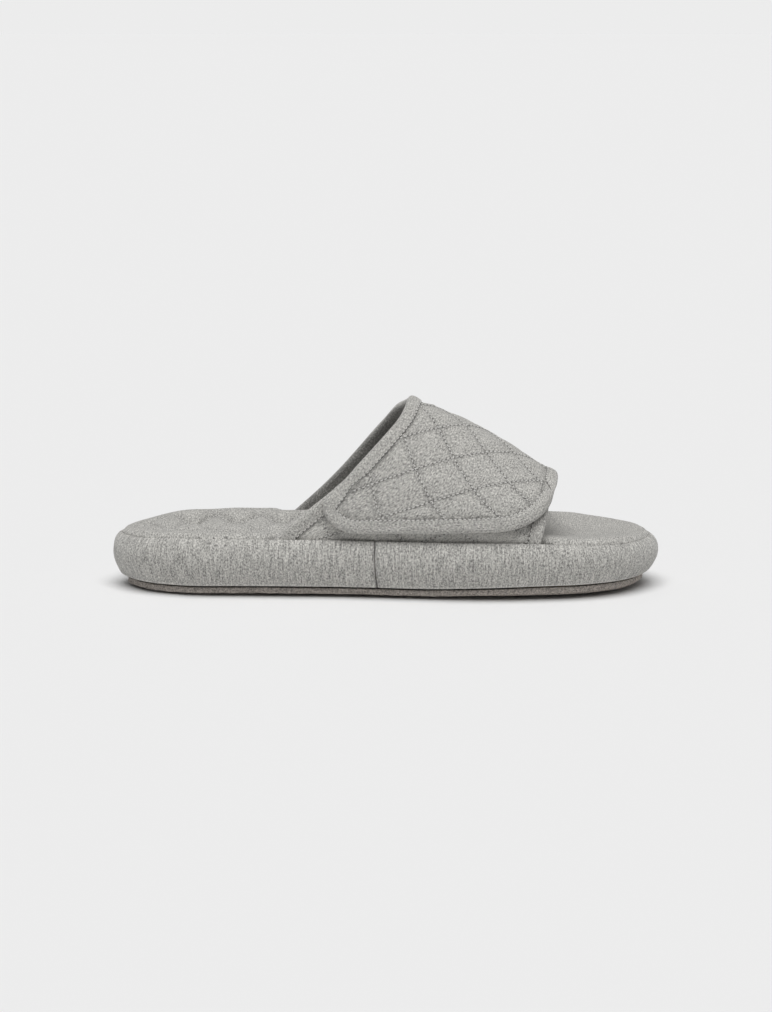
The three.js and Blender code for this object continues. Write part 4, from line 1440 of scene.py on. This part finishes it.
def make_floor():
    deselect()
    bpy.ops.mesh.primitive_plane_add(size=120, location=(0, 0, 0))
    floor = bpy.context.object
    floor.name = "floor"
    material, tree, shader = new_material("pale_floor")
    shader.inputs["Base Color"].default_value = (FLOOR_SHADE, FLOOR_SHADE, FLOOR_SHADE, 1)
    shader.inputs["Roughness"].default_value = 0.9
    shader.inputs["Specular IOR Level"].default_value = 0.0
    paint(floor, material)


def make_sun(name, elevation, azimuth, softness, strength):
    """A far, wide soft light. Azimuth 0 stands on the camera's side, and turns to the heel as it grows."""
    data = bpy.data.lights.new(name, "SUN")
    data.energy = strength
    data.angle = math.radians(softness)
    lamp = bpy.data.objects.new(name, data)
    level, turn = math.radians(elevation), math.radians(azimuth)
    towards = Vector((-math.sin(turn) * math.cos(level), -math.cos(turn) * math.cos(level), math.sin(level)))
    lamp.rotation_euler = towards.to_track_quat("Z", "Y").to_euler()
    bpy.context.scene.collection.objects.link(lamp)


def make_sky():
    """Even white light all round, seen behind the slipper as the same pale grey as the floor."""
    world = bpy.data.worlds.new("studio")
    bpy.context.scene.world = world
    world.use_nodes = True
    tree = world.node_tree
    fill = tree.nodes["Background"]
    fill.inputs["Color"].default_value = (1, 1, 1, 1)
    fill.inputs["Strength"].default_value = FILL_STRENGTH
    seen = node(tree, "ShaderNodeBackground")
    seen.inputs["Color"].default_value = (SKY_SHADE, SKY_SHADE, SKY_SHADE, 1)
    path = node(tree, "ShaderNodeLightPath")
    pick = node(tree, "ShaderNodeMixShader")
    tree.links.new(path.outputs["Is Camera Ray"], pick.inputs[0])
    tree.links.new(fill.outputs["Background"], pick.inputs[1])
    tree.links.new(seen.outputs["Background"], pick.inputs[2])
    tree.links.new(pick.outputs["Shader"], tree.nodes["World Output"].inputs["Surface"])


def make_camera():
    data = bpy.data.cameras.new("camera")
    camera = bpy.data.objects.new("camera", data)
    away = Vector((0, -math.cos(CAMERA_HEIGHT), math.sin(CAMERA_HEIGHT)))
    camera.location = Vector(CAMERA_TARGET) + away * CAMERA_DISTANCE
    camera.rotation_euler = (math.radians(90) - CAMERA_HEIGHT, 0, 0)
    data.sensor_fit = "HORIZONTAL"
    data.sensor_width = 36
    data.lens = CAMERA_LENS
    bpy.context.scene.collection.objects.link(camera)
    bpy.context.scene.camera = camera


build()
make_floor()
make_sun("soft_key", elevation=70, azimuth=-4, softness=50, strength=2.5)
make_sun("back_fill", elevation=50, azimuth=160, softness=80, strength=0.2)
make_sky()
make_camera()
bpy.context.scene.view_settings.view_transform = "Standard"
